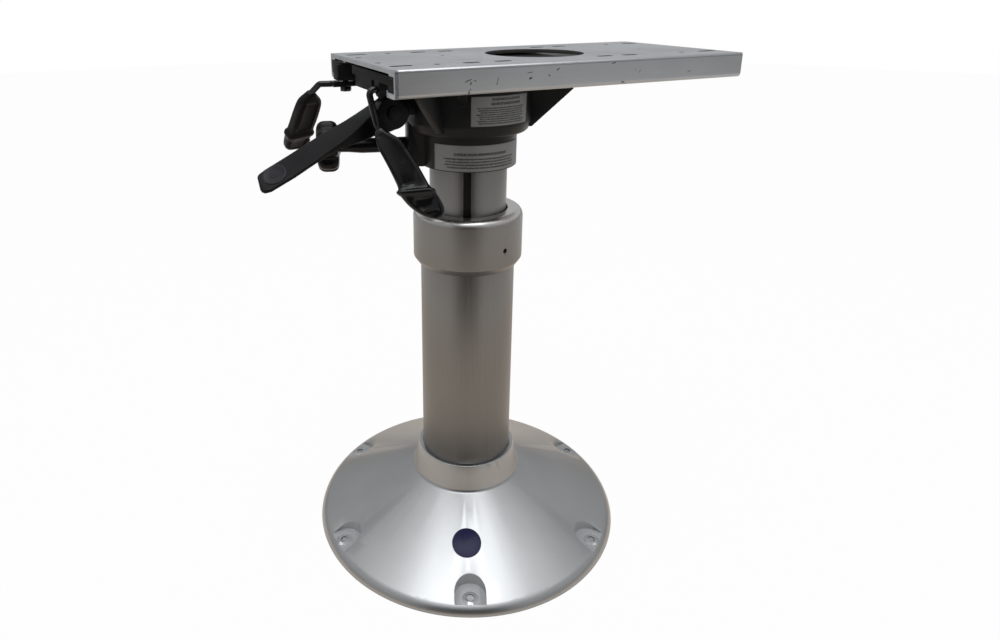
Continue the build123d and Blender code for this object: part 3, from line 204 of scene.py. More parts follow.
class Finish(NodeTree):
    """A material, kept in FINISHES under its name. Object coordinates are in metres."""

    def __init__(self, name):
        material = bpy.data.materials.new(name)
        super().__init__(material)
        FINISHES[name] = material
        self.shader = self.nodes["Principled BSDF"]
        self.place = self.add("ShaderNodeTexCoord", {}, "Object")

    def axes(self):
        """The three object coordinates."""
        node = self.add("ShaderNodeSeparateXYZ", {"Vector": self.place}).socket.node
        return [Wire(self, output) for output in node.outputs]

    def noise(self, scale, stretch=(1, 1, 1), detail=2.0, roughness=0.5, vector=None):
        """Noise from 0 to 1; scale is features a metre, stretch multiplies it along each axis."""
        place = self.add("ShaderNodeMapping", {"Vector": vector or self.place, "Scale": stretch})
        return self.add("ShaderNodeTexNoise", {"Vector": place, "Scale": scale, "Detail": detail,
                                               "Roughness": roughness})

    def ramp(self, value, low, high, from_shade=0.0, to_shade=1.0):
        """From one shade to another as the value goes from low to high."""
        return self.add("ShaderNodeMapRange", {"Value": value, "From Min": low, "From Max": high,
                                               "To Min": from_shade, "To Max": to_shade})

    def mix(self, share, first, second):
        """Colour from first to second as share goes from 0 to 1."""
        return self.add("ShaderNodeMix", {0: share, 6: first, 7: second}, 2, data_type="RGBA")

    def bump(self, height, distance, strength):
        """Normal from a height; distance is in metres."""
        return self.add("ShaderNodeBump", {"Height": height, "Distance": distance, "Strength": strength})

    def set(self, **values):
        """Sets or links the shader's sockets."""
        names = {"color": "Base Color", "roughness": "Roughness", "metallic": "Metallic", "normal": "Normal",
                 "specular": "Specular IOR Level", "emission": "Emission Color", "strength": "Emission Strength"}
        self.fill(self.shader, {names[key]: value for key, value in values.items()})


def shade(colour, factor):
    """The colour made lighter or darker by a factor."""
    return tuple(channel * factor for channel in colour)


def cast_silver_finish(colour):
    """Satin aluminium casting with fine grain and faint clouds."""
    finish = Finish("cast_silver")
    clouds = finish.noise(14, detail=3)
    grain = finish.noise(1600, detail=1)
    tone = finish.ramp(clouds, 0.3, 0.7)
    speckle = finish.ramp(grain, 0.35, 0.75)
    base = finish.mix(tone, shade(colour, 0.93), shade(colour, 1.05))
    color = finish.mix(speckle * 0.35, base, shade(colour, 0.85))
    roughness = 0.30 + tone * 0.04 + speckle * 0.04
    normal = finish.bump(grain, mm(0.03), 0.35)
    finish.set(color=color, metallic=1.0, roughness=roughness, normal=normal)


def pocket_silver_finish(colour):
    """As-cast, matter aluminium inside the bolt pockets."""
    finish = Finish("pocket_silver")
    grain = finish.noise(900, detail=2)
    color = finish.mix(grain, colour, shade(colour, 1.2))
    normal = finish.bump(grain, mm(0.08), 0.5)
    finish.set(color=color, metallic=0.45, roughness=0.6, normal=normal)


def tube_finish(name, colour, turned, edge=None):
    """Brushed aluminium: lines run up the tube, or round it where it was turned.

    edge gives two heights in metres between which the metal grows smoother and its colour is painted brighter, a
    painted highlight on the rounded top edge.
    """
    finish = Finish(name)
    if turned:
        lines = finish.noise(30, (1, 1, 90), detail=4, roughness=0.7)
        fine = finish.noise(60, (0.5, 0.5, 60), detail=2)
    else:
        lines = finish.noise(500, (1, 1, 0.012), detail=4, roughness=0.7)
        fine = finish.noise(1500, (1, 1, 0.006), detail=2)
    clouds = finish.noise(9, (1, 1, 0.6), detail=3)
    streak = finish.ramp(lines, 0.3, 0.7)
    tone = finish.ramp(clouds, 0.35, 0.65)
    base = finish.mix(tone, shade(colour, 0.92), shade(colour, 1.06))
    color = finish.mix(streak * 0.5, base, shade(colour, 1.18))
    roughness = 0.33 + streak * 0.08 + tone * 0.03
    if edge:
        polish_and_highlight = finish.ramp(finish.axes()[2], *edge)
        # painted highlight: the colour brightened 3.3 times on the collar's rounded top edge, together with real
        # polish that lowers the roughness
        color = finish.mix(polish_and_highlight, color, shade(colour, 3.3))
        roughness = roughness - polish_and_highlight * 0.12
    normal = finish.bump(fine, mm(0.02), 0.35)
    finish.set(color=color, metallic=1.0, roughness=roughness, normal=normal)


END_BAND_X = -111.8
RAIL_FACE_Y = -94.0
RAIL_TOP_LINE = (531.6, 532.4)
RAIL_SCRATCHES = (
    # middle x, middle z, half length, half width, turn in degrees
    (-48.0, 522.5, 3.2, 0.45, 20), (-45.5, 520.0, 1.2, 0.7, 80), (-47.0, 512.0, 1.6, 0.8, 100),
    (-46.0, 514.8, 0.9, 0.5, 60), (-19.5, 520.5, 3.4, 0.35, 75), (14.0, 521.5, 1.6, 0.9, 10),
    (13.0, 526.5, 2.4, 0.35, 5), (33.5, 523.0, 0.9, 0.6, 0), (42.5, 528.0, 1.6, 0.6, 35),
    (104.0, 531.0, 2.2, 0.6, 15), (135.0, 522.0, 1.4, 0.35, 70), (196.0, 519.0, 2.0, 0.35, 20),
)


def plate_finish(colour):
    """Extruded aluminium with lines along the rail, soft stains, and dark scratches on its outer face."""
    finish = Finish("plate_silver")
    x, y, z = finish.axes()
    lines = finish.noise(700, (0.012, 1, 1), detail=3, roughness=0.7)
    clouds = finish.noise(16, (0.6, 1, 1), detail=4)
    marks = finish.noise(75, (1, 0.7, 1.6), detail=3, roughness=0.65)
    places = finish.noise(13, detail=0)
    ragged = finish.noise(900, detail=2)
    streak = finish.ramp(lines, 0.3, 0.7)
    tone = finish.ramp(clouds, 0.3, 0.7)
    scuff = finish.ramp(marks, 0.66, 0.70) * finish.ramp(places, 0.52, 0.62)
    near_face = y < mm(RAIL_FACE_Y)
    for middle_x, middle_z, half_length, half_width, slant in RAIL_SCRATCHES:
        turn = radians(slant)
        shift_x = x - mm(middle_x)
        shift_z = z - mm(middle_z)
        along = shift_x * cos(turn) + shift_z * sin(turn)
        across = shift_z * cos(turn) - shift_x * sin(turn) + (ragged - 0.5) * mm(1.4)
        inside = along.band(mm(-half_length), mm(half_length)) * across.band(mm(-half_width), mm(half_width))
        scuff = scuff + inside * near_face
    # a darker, ragged band on the rail's outer face, in front of a place along X
    end_dark_band = near_face * (x < mm(END_BAND_X)) * finish.ramp(ragged, 0.3, 0.6, 0.35, 0.9)
    top_line = near_face * z.band(mm(RAIL_TOP_LINE[0]), mm(RAIL_TOP_LINE[1])) * 0.45
    dark = finish.ramp(scuff + end_dark_band + top_line, 0.0, 1.0)
    base = finish.mix(tone, shade(colour, 0.9), shade(colour, 1.07))
    lined = finish.mix(streak * 0.35, base, shade(colour, 1.18))
    color = finish.mix(dark * 0.85, lined, (0.03, 0.034, 0.05))
    roughness = 0.42 + streak * 0.08 + dark * 0.2
    normal = finish.bump(lines - dark * 0.5, mm(0.03), 0.3)
    finish.set(color=color, metallic=0.92 - dark * 0.5, roughness=roughness, normal=normal)


def cast_black_finish(colour):
    """Satin black paint on a casting, slightly orange-peeled, worn brown-grey in places."""
    finish = Finish("cast_black")
    peel = finish.noise(420, detail=2)
    clouds = finish.noise(20, detail=4)
    tone = finish.ramp(clouds, 0.35, 0.7)
    color = finish.mix(tone, shade(colour, 0.7), (0.015, 0.0145, 0.0138))
    roughness = 0.33 + tone * 0.10
    normal = finish.bump(peel, mm(0.05), 0.35)
    finish.set(color=color, metallic=0.0, roughness=roughness, normal=normal, specular=0.12)


def grip_finish(name, colour, brown, gloss, specular, painted_shade_span):
    """Moulded black plastic with a fine spark-eroded texture and a few pale scuffs.

    The last argument gives two places along X, in millimetres, between which the colour is painted darker,
    painted shade toward the lever's hub and web.
    """
    finish = Finish(name)
    grain = finish.noise(1100, detail=2)
    clouds = finish.noise(28, detail=4)
    scratches = finish.noise(120, (1, 0.15, 0.6), detail=3, roughness=0.7)
    tone = finish.ramp(clouds, 0.35, 0.7)
    scuff = finish.ramp(scratches, 0.66, 0.74)
    warm = (colour[0] * (1 + brown), colour[1] * (1 + brown * 0.55), colour[2] * (1 + brown * 0.4))
    base = finish.mix(tone, warm, shade(warm, 1.7))
    color = finish.mix(scuff * 0.3, base, (0.03, 0.03, 0.032))
    if painted_shade_span:
        # painted shade: the colour grows darker toward the lever's hub, where its web faces away from the light
        painted_hub_shade = finish.ramp(finish.axes()[0], mm(painted_shade_span[0]), mm(painted_shade_span[1]))
        color = finish.mix(painted_hub_shade, color, shade(colour, 0.2))
    roughness = gloss + tone * 0.08 + scuff * 0.1
    normal = finish.bump(grain, mm(0.03), 0.3)
    finish.set(color=color, metallic=0.0, roughness=roughness, normal=normal, specular=specular)


def plain_finish(name, colour, metallic, roughness, grain_scale, grain_depth, specular):
    """Small hardware: one colour with fine grain and tone changes."""
    finish = Finish(name)
    grain = finish.noise(grain_scale, detail=2)
    clouds = finish.noise(60, detail=2)
    color = finish.mix(clouds, shade(colour, 0.8), shade(colour, 1.2))
    rough = roughness + finish.ramp(grain, 0.3, 0.7, -0.04, 0.04)
    normal = finish.bump(grain, mm(grain_depth), 0.4)
    finish.set(color=color, metallic=metallic, roughness=rough, normal=normal, specular=specular)


UPPER_RULES = (
    # middle, from the top as a share of the plate's height, half height, half width, shift; headings come first
    (0.10, 0.045, 0.50, 0.12), (0.25, 0.045, 0.52, 0.12),
    *((0.39 + 0.073 * row, 0.023, 0.82 - 0.05 * (row % 3), -0.02 * (row % 2)) for row in range(8)),
)
LOWER_RULES = (
    (0.34, 0.05, 0.56, 0.0),
    *((0.52 + 0.11 * row, 0.032, 0.78 - 0.04 * (row % 2), 0.01 * row) for row in range(4)),
)
PRINT_GAPS = 0.36
LETTERS_ACROSS = 42
LETTERS_DOWN = 30


def label_finish(name, colour, low, high, centre, half_arc, rules):
    """Silver label plate wrapped round +Z, with plain rules in place of print.

    low and high are the plate's heights, centre its direction and half_arc its half width, in degrees.
    """
    finish = Finish(name)
    x, y, z = finish.axes()
    across = (x.maths("ARCTAN2", y, x) - radians(centre)) / radians(half_arc)
    down = (mm(high) - z) / mm(high - low)
    reach = across.maths("ABSOLUTE", across)
    print_mask = 0.0
    for middle, half_height, half_width, shift in rules:
        side = across.maths("ABSOLUTE", across - shift)
        rule = down.band(middle - half_height, middle + half_height) * (side < half_width)
        print_mask = rule + print_mask
    letters = finish.add("ShaderNodeCombineXYZ", {"X": across * LETTERS_ACROSS, "Y": down * LETTERS_DOWN})
    gaps = finish.noise(1.0, detail=0, vector=letters)
    broken = print_mask * (gaps > PRINT_GAPS)
    clouds = finish.noise(80, detail=3)
    edge = (reach > 0.975) + (down < 0.03) + (down > 0.97)
    base = finish.mix(clouds, shade(colour, 0.88), shade(colour, 1.1))
    framed = finish.mix(edge * 0.5, base, shade(colour, 0.6))
    color = finish.mix(broken * 0.92, framed, (0.03, 0.03, 0.03))
    finish.set(color=color, metallic=0.25, roughness=0.42 + clouds * 0.08)


def round_label_finish(colour):
    """Glossy dark blue label, bare."""
    finish = Finish("label_blue")
    clouds = finish.noise(90, detail=3)
    color = finish.mix(clouds, shade(colour, 0.9), shade(colour, 1.15))
    normal = finish.bump(clouds, mm(0.1), 0.3)
    finish.set(color=color, roughness=0.28 + clouds * 0.05, normal=normal, specular=0.22)


# millimetres below the collar's top of the smoother band that carries the painted highlight
COLLAR_POLISH_AND_HIGHLIGHT = (8.0, 3.0)
GRIP_FINISHES = (
    # name, share of the grips' colour, brown, gloss, specular, span along X of painted shade toward the hub
    ("lever_black", 1.4, 0.0, 0.27, 0.11, (-165, -118)),
    ("lever_badge", 4.0, 0.0, 0.27, 0.11, None),
    ("grip_black", 1.0, 0.0, 0.18, 0.28, None),
    ("knob_black", 0.8, 0.0, 0.22, 0.16, None),
    ("grip_brown", 0.9, 0.8, 0.3, 0.12, None),
)
PLAIN_FINISHES = (
    # name, colour, metallic, roughness, grain scale, grain depth, specular
    ("sawn_silver", (0.50, 0.51, 0.52), 0.8, 0.45, 900, 0.15, 0.5),
    # painted shade for the walls of bolt holes and slots
    ("slot_painted_shade", (0.075, 0.072, 0.068), 0.7, 0.5, 900, 0.1, 0.5),
    ("steel", (0.50, 0.49, 0.47), 1.0, 0.35, 900, 0.02, 0.5),
    ("black_steel", (0.010, 0.010, 0.011), 0.25, 0.17, 500, 0.02, 0.5),
    ("bearing_plastic", (0.009, 0.0085, 0.008), 0.0, 0.5, 700, 0.05, 0.1),
    # painted shade: a darker copy of the mount's black for its faces that point to -X
    ("deck_end_painted_shade", (0.005, 0.005, 0.005), 0.0, 0.5, 700, 0.05, 0.1),
    # painted shade: a darker copy of the black steel for the lever's pivot pin
    ("pin_painted_shade", (0.003, 0.003, 0.0032), 0.0, 0.35, 500, 0.02, 0.12),
)


def make_finishes():
    """All the finishes of the pieces, from the scene's colours."""
    colours = bpy.context.scene.pedestal_colours
    collar_top = max(vertex.co.z for vertex in NODES["collar"].data.vertices)
    cast_silver_finish(colours.cast_silver)
    pocket_silver_finish(colours.cast_silver)
    tube_finish("tube_silver", colours.tube_silver, turned=False)
    # painted shade: the groove's floor gets a copy of the tube's colour at a sixth of its brightness
    tube_finish("groove_painted_shade", shade(colours.tube_silver, 0.16), turned=False)
    tube_finish("collar_silver", shade(colours.tube_silver, 0.95), turned=True,
                edge=[collar_top - mm(below) for below in COLLAR_POLISH_AND_HIGHLIGHT])
    plate_finish(colours.plate_silver)
    cast_black_finish(colours.cast_black)
    for name, share, *look in GRIP_FINISHES:
        grip_finish(name, shade(colours.grip_black, share), *look)
    for values in PLAIN_FINISHES:
        plain_finish(*values)
    round_label_finish(colours.label_blue)
    label_finish("upper_label", colours.label_silver, 475.0, 503.0, -86.75, 27.75, UPPER_RULES)
    label_finish("lower_label", colours.label_silver, 427.8, 453.8, -100.5, 57.5, LOWER_RULES)


# Modelling


DISC_STEPS = 48


def start_clean():
    """Object mode with nothing selected."""
    if bpy.context.mode != "OBJECT":
        bpy.ops.object.mode_set(mode="OBJECT")
    bpy.ops.object.select_all(action="DESELECT")


def focus(piece):
    """Only this piece selected and active."""
    start_clean()
    piece.select_set(True)
    bpy.context.view_layer.objects.active = piece


def apply_modifier(piece, kind, **settings):
    """Adds a modifier with its settings and applies it."""
    focus(piece)
    modifier = piece.modifiers.new(kind.lower(), kind)
    for key, value in settings.items():
        setattr(modifier, key, value)
    bpy.ops.object.modifier_apply(modifier=modifier.name)


def rounded(points, steps=4):
    """Corner points (a, b, radius) of a closed outline, each corner replaced by its arc."""
    result = []
    corners = [Vector(point[:2]) for point in points]
    for index, corner in enumerate(corners):
        radius = points[index][2]
        before = (corners[index - 1] - corner).normalized()
        after = (corners[(index + 1) % len(corners)] - corner).normalized()
        half = acos(max(-1.0, min(1.0, before.dot(after)))) / 2
        centre = corner + (before + after).normalized() * (radius / sin(half))
        start = corner + before * (radius / tan(half))
        end = corner + after * (radius / tan(half))
        first = atan2(start.y - centre.y, start.x - centre.x)
        sweep = atan2(end.y - centre.y, end.x - centre.x) - first
        sweep = (sweep + pi) % (2 * pi) - pi
        for step in range(steps + 1):
            angle = first + sweep * step / steps
            result.append(centre + Vector((cos(angle), sin(angle))) * radius)
    return result


def begin_piece(name):
    """Names the active piece and starts to edit it, with all of its mesh selected."""
    piece = bpy.context.object
    piece.name = name
    piece.data.name = name
    bpy.ops.object.mode_set(mode="EDIT")
    bpy.ops.mesh.select_all(action="SELECT")
    return piece


def close_piece(piece):
    """Turns all faces outwards and ends the editing."""
    bpy.ops.mesh.select_all(action="SELECT")
    bpy.ops.mesh.normals_make_consistent(inside=False)
    start_clean()
    return piece


def select_faces(piece, picks):
    """While a piece is edited: selects the faces that picks chooses, and no others."""
    bpy.ops.mesh.select_all(action="DESELECT")
    mesh = bmesh.from_edit_mesh(piece.data)
    for face in mesh.faces:
        face.select = picks(face)
    bmesh.update_edit_mesh(piece.data)


def turns(count):
    """Angles in radians at equal steps round a circle."""
    return [2 * pi * step / count for step in range(count)]


def draw_outline(name, points):
    """A closed outline of edges, drawn by extruding one vertex from point to point."""
    start_clean()
    bpy.ops.mesh.primitive_plane_add(size=mm(1))
    piece = begin_piece(name)
    bpy.ops.mesh.merge(type="CENTER")
    bpy.ops.transform.translate(value=points[0])
    for before, after in zip(points, points[1:]):
        bpy.ops.mesh.extrude_region_move(TRANSFORM_OT_translate={"value": after - before})
    bpy.ops.mesh.extrude_region_move(TRANSFORM_OT_translate={"value": points[0] - points[-1]})
    bpy.ops.mesh.select_all(action="SELECT")
    bpy.ops.mesh.remove_doubles(threshold=mm(0.001))
    return piece


def rod_along_y(name, centre, radius, far_y, near_y):
    """Round piece along Y round a centre (x, z), in millimetres: its outline filled and extruded."""
    piece = draw_outline(name, [mm(centre[0] + radius * cos(turn), far_y, centre[1] + radius * sin(turn))
                                for turn in turns(DISC_STEPS)])
    bpy.ops.mesh.select_all(action="SELECT")
    bpy.ops.mesh.edge_face_add()
    bpy.ops.mesh.extrude_region_move(TRANSFORM_OT_translate={"value": mm(0, near_y - far_y, 0)})
    return close_piece(piece)


def loft(name, rings):
    """A closed skin through rings of equally many points: a disc extruded from ring to ring."""
    start_clean()
    count = len(rings[0])
    bpy.ops.mesh.primitive_circle_add(vertices=count, radius=mm(10), fill_type="NGON")
    piece = begin_piece(name)
    mesh = bmesh.from_edit_mesh(piece.data)
    for vertex, point in zip(sorted(mesh.verts, key=lambda corner: corner.index), rings[0]):
        vertex.co = point
    bmesh.update_edit_mesh(piece.data)
    for before, ring in zip(rings, rings[1:]):
        bpy.ops.mesh.extrude_region_move()
        mesh = bmesh.from_edit_mesh(piece.data)
        for vertex in [corner for corner in mesh.verts if corner.select]:
            nearest = min(range(count), key=lambda index: (before[index] - vertex.co).length_squared)
            vertex.co = ring[nearest]
        bmesh.update_edit_mesh(piece.data)
    return close_piece(piece)


def combine(piece, other, operation):
    """Joins another piece to this one, or cuts it away, and deletes the other."""
    apply_modifier(piece, "BOOLEAN", object=other, operation=operation, solver="EXACT")
    bpy.data.objects.remove(other)


def soften(piece, width, segments=2, angle=35):
    """Rounds the edges sharper than an angle."""
    apply_modifier(piece, "BEVEL", width=width, segments=segments, limit_method="ANGLE",
                   angle_limit=radians(angle))


def smooth(piece, angle=30):
    """Smooth shading with the sharper edges kept."""
    focus(piece)
    bpy.ops.object.shade_smooth_by_angle(angle=radians(angle))


def dress(piece, body, finish, slot, *nodes):
    """Places a finished piece on its body with its finish, and hides the solids it stands for."""
    focus(piece)
    bpy.ops.object.transform_apply(location=True, rotation=True, scale=True)
    if not piece.data.materials:
        piece.data.materials.append(FINISHES[finish])
    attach(piece, body)
    if nodes:
        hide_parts(*nodes)
    return piece


def merged_copy(node, name):
    """A copy of a solid's mesh with its triangles merged into whole faces."""
    piece = bpy.data.objects.new(name, NODES[node].data.copy())
    piece.data.materials.clear()
    bpy.context.scene.collection.objects.link(piece)
    focus(piece)
    begin_piece(name)
    bpy.ops.mesh.remove_doubles(threshold=mm(0.002))
    bpy.ops.mesh.customdata_custom_splitnormals_clear()
    bpy.ops.mesh.dissolve_limited(angle_limit=radians(0.4), use_dissolve_boundaries=False)
    start_clean()
    return piece


def refine(node, name, body, finish, slot, width=0.0):
    """Stands for a solid with the same shape, its edges bevelled by a width and its curves smooth."""
    piece = merged_copy(node, name)
    if width:
        soften(piece, width)
    smooth(piece)
    return dress(piece, body, finish, slot, node)


def paint(piece, finish, picks):
    """Gives another finish to the faces that picks chooses."""
    piece.data.materials.append(FINISHES[finish])
    for face in piece.data.polygons:
        if picks(face):
            face.material_index = len(piece.data.materials) - 1


def polar(radius, turn, height):
    """Point in metres at a radius, a direction in degrees and a height in millimetres."""
    return mm(radius * cos(radians(turn)), radius * sin(radians(turn)), height)


# The photograph's view


CAMERA_PLACE = Vector((-0.3181, -0.6407, 0.5953))
CAMERA_RIGHT = Vector((0.91377907, -0.40617432, -0.00549864))
CAMERA_UP = Vector((0.13523454, 0.29142006, 0.94698784))
FOCAL_PIXELS = 699.496
IMAGE_WIDTH = 1000
IMAGE_HEIGHT = 640
IMAGE_CENTRE = (438.205, 228.545)
SENSOR_WIDTH = 36.0


# Pieces


BASE_CONE_SLOPE = 25.008
NECK_LOW = (62.0, 59.2)
RIM_OUTER = 175.9
RIM_LOW_Z = 3.2
RIM_HIGH_Z = 9.8
RIM_STEPS = 8
RIM_CROWN = (167.9, 9.8)
RIM_BEVEL_SLOPE = 0.7
RIM_CENTRE = (161.9, -2.84)
RIM_ARC = 14.0
RIM_FIRST_TURN = 11.7
RIM_MARGIN = 6.0
LAND_SLACK = 0.2
LOW_SLACK = 0.01
BEVEL_SLACK = 0.8
POCKET_REACH = 171.0
POCKET_SUNK = 1.5
BOLT_CIRCLE = 160.5
BOLT_COUNT = 6
BOLT_TURN = -114.3
BOLT_HOLE = 4.25
HOLE_SLACK = 0.4


def cone_height(radius):
    """Height of the base's cone at a radius, in millimetres."""
    return NECK_LOW[1] - (radius - NECK_LOW[0]) * tan(radians(BASE_CONE_SLOPE))


def round_rim(base):
    """Turns the bevel of the base's rim into one arc from upright to the slope of the cone."""
    focus(base)
    bpy.ops.object.mode_set(mode="EDIT")
    for step in range(1, RIM_STEPS):
        height = RIM_LOW_Z + (RIM_HIGH_Z - RIM_LOW_Z) * step / RIM_STEPS
        select_faces(base, lambda face: any(
            hypot(corner.co.x, corner.co.y) > mm(POCKET_REACH + 1) for corner in face.verts))
        bpy.ops.mesh.bisect(plane_co=mm(0, 0, height), plane_no=(0, 0, 1))
    mesh = bmesh.from_edit_mesh(base.data)
    for vertex in mesh.verts:
        place = in_mm(vertex.co)
        radius = hypot(place.x, place.y)
        bevel_z = min(cone_height(radius), RIM_CROWN[1] - (radius - RIM_CROWN[0]) * RIM_BEVEL_SLOPE)
        on_land = radius > RIM_OUTER - LAND_SLACK and place.z > RIM_LOW_Z - LOW_SLACK
        if radius < RIM_CROWN[0] - RIM_MARGIN or not (on_land or place.z > bevel_z - BEVEL_SLACK):
            continue
        if place.z < RIM_HIGH_Z:
            share = max(0.0, (place.z - RIM_LOW_Z) / (RIM_HIGH_Z - RIM_LOW_Z))
            turn = radians(RIM_FIRST_TURN + share * (90 - BASE_CONE_SLOPE - RIM_FIRST_TURN))
            new_radius = RIM_CENTRE[0] + RIM_ARC * cos(turn)
            new_z = RIM_CENTRE[1] + RIM_ARC * sin(turn)
        else:
            new_radius, new_z = radius, cone_height(radius)
        vertex.co = mm(place.x * new_radius / radius, place.y * new_radius / radius, new_z)
    bmesh.update_edit_mesh(base.data)
    start_clean()


def in_pocket(face):
    """Whether a face of the base lies below its cone, in a bolt pocket."""
    centre = in_mm(face.center)
    radius = hypot(centre.x, centre.y)
    return NECK_LOW[0] < radius < POCKET_REACH and centre.z < cone_height(radius) - POCKET_SUNK


def in_bolt_hole(face):
    """Whether a face of the base is part of a bolt hole's wall."""
    holes = [polar(BOLT_CIRCLE, BOLT_TURN + 360 * index / BOLT_COUNT, 0) for index in range(BOLT_COUNT)]
    return abs(face.normal.z) < 0.4 and any(
        (face.center.xy - hole.xy).length < mm(BOLT_HOLE + HOLE_SLACK) for hole in holes)


class PEDESTAL_OT_base(bpy.types.Operator):
    """Cast base with its bolt pockets, and the round label"""
    bl_idname = "pedestal.base"
    bl_label = "Base"

    def execute(self, context):
        sizes = context.scene.pedestal_sizes
        base = merged_copy("base_casting", "base_cone")
        round_rim(base)
        soften(base, sizes.base_round, angle=40)
        smooth(base)
        dress(base, "base", "cast_silver", "cast_silver", "base_casting")
        paint(base, "pocket_silver", in_pocket)
        # painted shade on the walls of the bolt holes
        paint(base, "slot_painted_shade", in_bolt_hole)
        refine("label_disc", "round_label", "base", "label_blue", "label_blue", sizes.fine_round)
        return {"FINISHED"}


GROOVE_FLOOR = (36.65, 38.45)


class PEDESTAL_OT_column(bpy.types.Operator):
    """Outer tube, collar with its set screw, and grooved inner tube"""
    bl_idname = "pedestal.column"
    bl_label = "Column"

    def execute(self, context):
        sizes = context.scene.pedestal_sizes
        refine("outer_tube", "lower_tube", "base", "tube_silver", "tube_silver", sizes.tube_round)
        refine("collar", "top_collar", "base", "collar_silver", "tube_silver", sizes.tube_round)
        refine("collar_set_screw", "set_screw", "base", "black_steel", "black_steel", sizes.fine_round)
        tube = refine("inner_tube", "upper_tube", "post", "tube_silver", "tube_silver", sizes.tube_round)
        low, high = (mm(radius) for radius in GROOVE_FLOOR)
        # painted shade on the floor of the groove
        paint(tube, "groove_painted_shade", lambda face: low < hypot(face.center.x, face.center.y) < high)
        return {"FINISHED"}


DECK_LOW_Z = 505.0


class PEDESTAL_OT_seat_mount(bpy.types.Operator):
    """Black seat mount casting, its label plates and the levers' two bolts"""
    bl_idname = "pedestal.seat_mount"
    bl_label = "Seat mount"

    def execute(self, context):
        sizes = context.scene.pedestal_sizes
        mount = refine("seat_mount_casting", "seat_mount_body", "seat_mount", "cast_black", "cast_black",
                       sizes.mount_round)
        # painted shade on the mount's faces that point to -X, under the plate
        paint(mount, "deck_end_painted_shade", lambda face: face.normal.x < -0.8 and face.center.z > mm(DECK_LOW_Z))
        refine("upper_label", "drum_label", "seat_mount", "upper_label", "label_silver")
        refine("lower_label", "sleeve_label", "seat_mount", "lower_label", "label_silver")
        # painted shade on the pivot pin, which gets the darker copy of black steel
        refine("lever_pivot_pin", "lever_screw", "seat_mount", "pin_painted_shade", "black_steel", sizes.bolt_round)
        refine("slide_pivot_bolt", "slide_bolt", "seat_mount", "black_steel", "black_steel", sizes.bolt_round)
        return {"FINISHED"}


PLATE_ENDS_X = (-114.8, 264.8)
PLATE_SKIN_Z = 528.0
SLOTS_REACH_Y = 88.0


class PEDESTAL_OT_slide_plate(bpy.types.Operator):
    """Slotted plate with its two rails"""
    bl_idname = "pedestal.slide_plate"
    bl_label = "Slide plate"

    def execute(self, context):
        plate = refine("slide_plate", "slotted_plate", "slide_top", "plate_silver", "plate_silver",
                       context.scene.pedestal_sizes.plate_round)
        front, rear = (mm(x) for x in PLATE_ENDS_X)
        paint(plate, "sawn_silver", lambda face: (
            abs(face.normal.x) > 0.9 and not front <= face.center.x <= rear))
        # painted shade on the walls of the plate's slots
        paint(plate, "slot_painted_shade", lambda face: (
            abs(face.normal.z) < 0.3 and front <= face.center.x <= rear
            and face.center.z > mm(PLATE_SKIN_Z) and abs(face.center.y) < mm(SLOTS_REACH_Y)))
        return {"FINISHED"}


PADDLE_SECTIONS = (
    # x, far y, near y, far top z, near top z, far thickness, near thickness
    (-220.3, -21.0, -32.0, 440.4, 430.6, 2.4, 2.2),
    (-219.4, -18.0, -35.0, 440.9, 429.9, 3.4, 3.0),
    (-217.2, -15.8, -37.2, 442.0, 430.0, 4.2, 3.6),
    (-212.0, -15.0, -38.0, 445.0, 431.0, 4.6, 3.8),
    (-190.0, -15.0, -38.0, 456.2, 441.8, 4.8, 4.0),
    (-171.0, -15.0, -38.0, 466.2, 452.4, 5.0, 4.0),
    (-160.0, -15.0, -38.0, 471.9, 459.0, 5.4, 4.4),
    (-148.0, -15.0, -38.0, 477.5, 466.0, 7.0, 6.4),
    (-136.0, -15.0, -38.0, 482.8, 473.6, 10.0, 10.6),
    (-124.0, -15.0, -38.0, 488.8, 483.6, 16.4, 17.4),
    (-112.0, -15.0, -38.0, 495.3, 494.2, 23.8, 23.6),
    (-98.0, -15.0, -38.0, 504.0, 504.0, 31.2, 31.2),
    (-90.0, -15.0, -38.0, 504.0, 504.0, 28.5, 28.5),
)
PADDLE_CORNER = 1.3
HUB = (-96.0, 490.0)
HUB_RADIUS = 15.5
HUB_ROUND = 1.2
HUB_FAR_Y = -24.0
HUB_NEAR_Y = -40.0
SPACER_RADIUS = 9.0
SPACER_FAR_Y = -13.0
BORE_RADIUS = 4.05
BADGE_CENTRE = (-206.0, -26.3, 440.9)
BADGE_PLANE = ((-206.0, -15.0, 447.8), (-206.0, -38.0, 434.0), (-190.0, -15.0, 455.8))
BADGE_LIFT = 0.2
BADGE_PROFILE = (
    # radius, height
    (11.2, -0.9), (11.2, 0.25), (10.7, 0.55), (9.7, 0.55), (9.2, 0.25), (4.2, 0.2), (3.8, 0.5), (1.0, 0.55),
)


def add_badge():
    """Plain disc on the paddle, square to the plane through three points of the paddle's top."""
    far, near, inner = (mm(*point) for point in BADGE_PLANE)
    across = (far - near).normalized()
    out = across.cross(inner - far).normalized()
    out = out if out.z > 0 else -out
    along = out.cross(across)
    centre = mm(*BADGE_CENTRE) + out * mm(BADGE_LIFT)
    return loft("paddle_badge", [
        [centre + out * mm(height) + across * mm(radius * cos(turn)) + along * mm(radius * sin(turn))
         for turn in turns(DISC_STEPS)] for radius, height in BADGE_PROFILE])


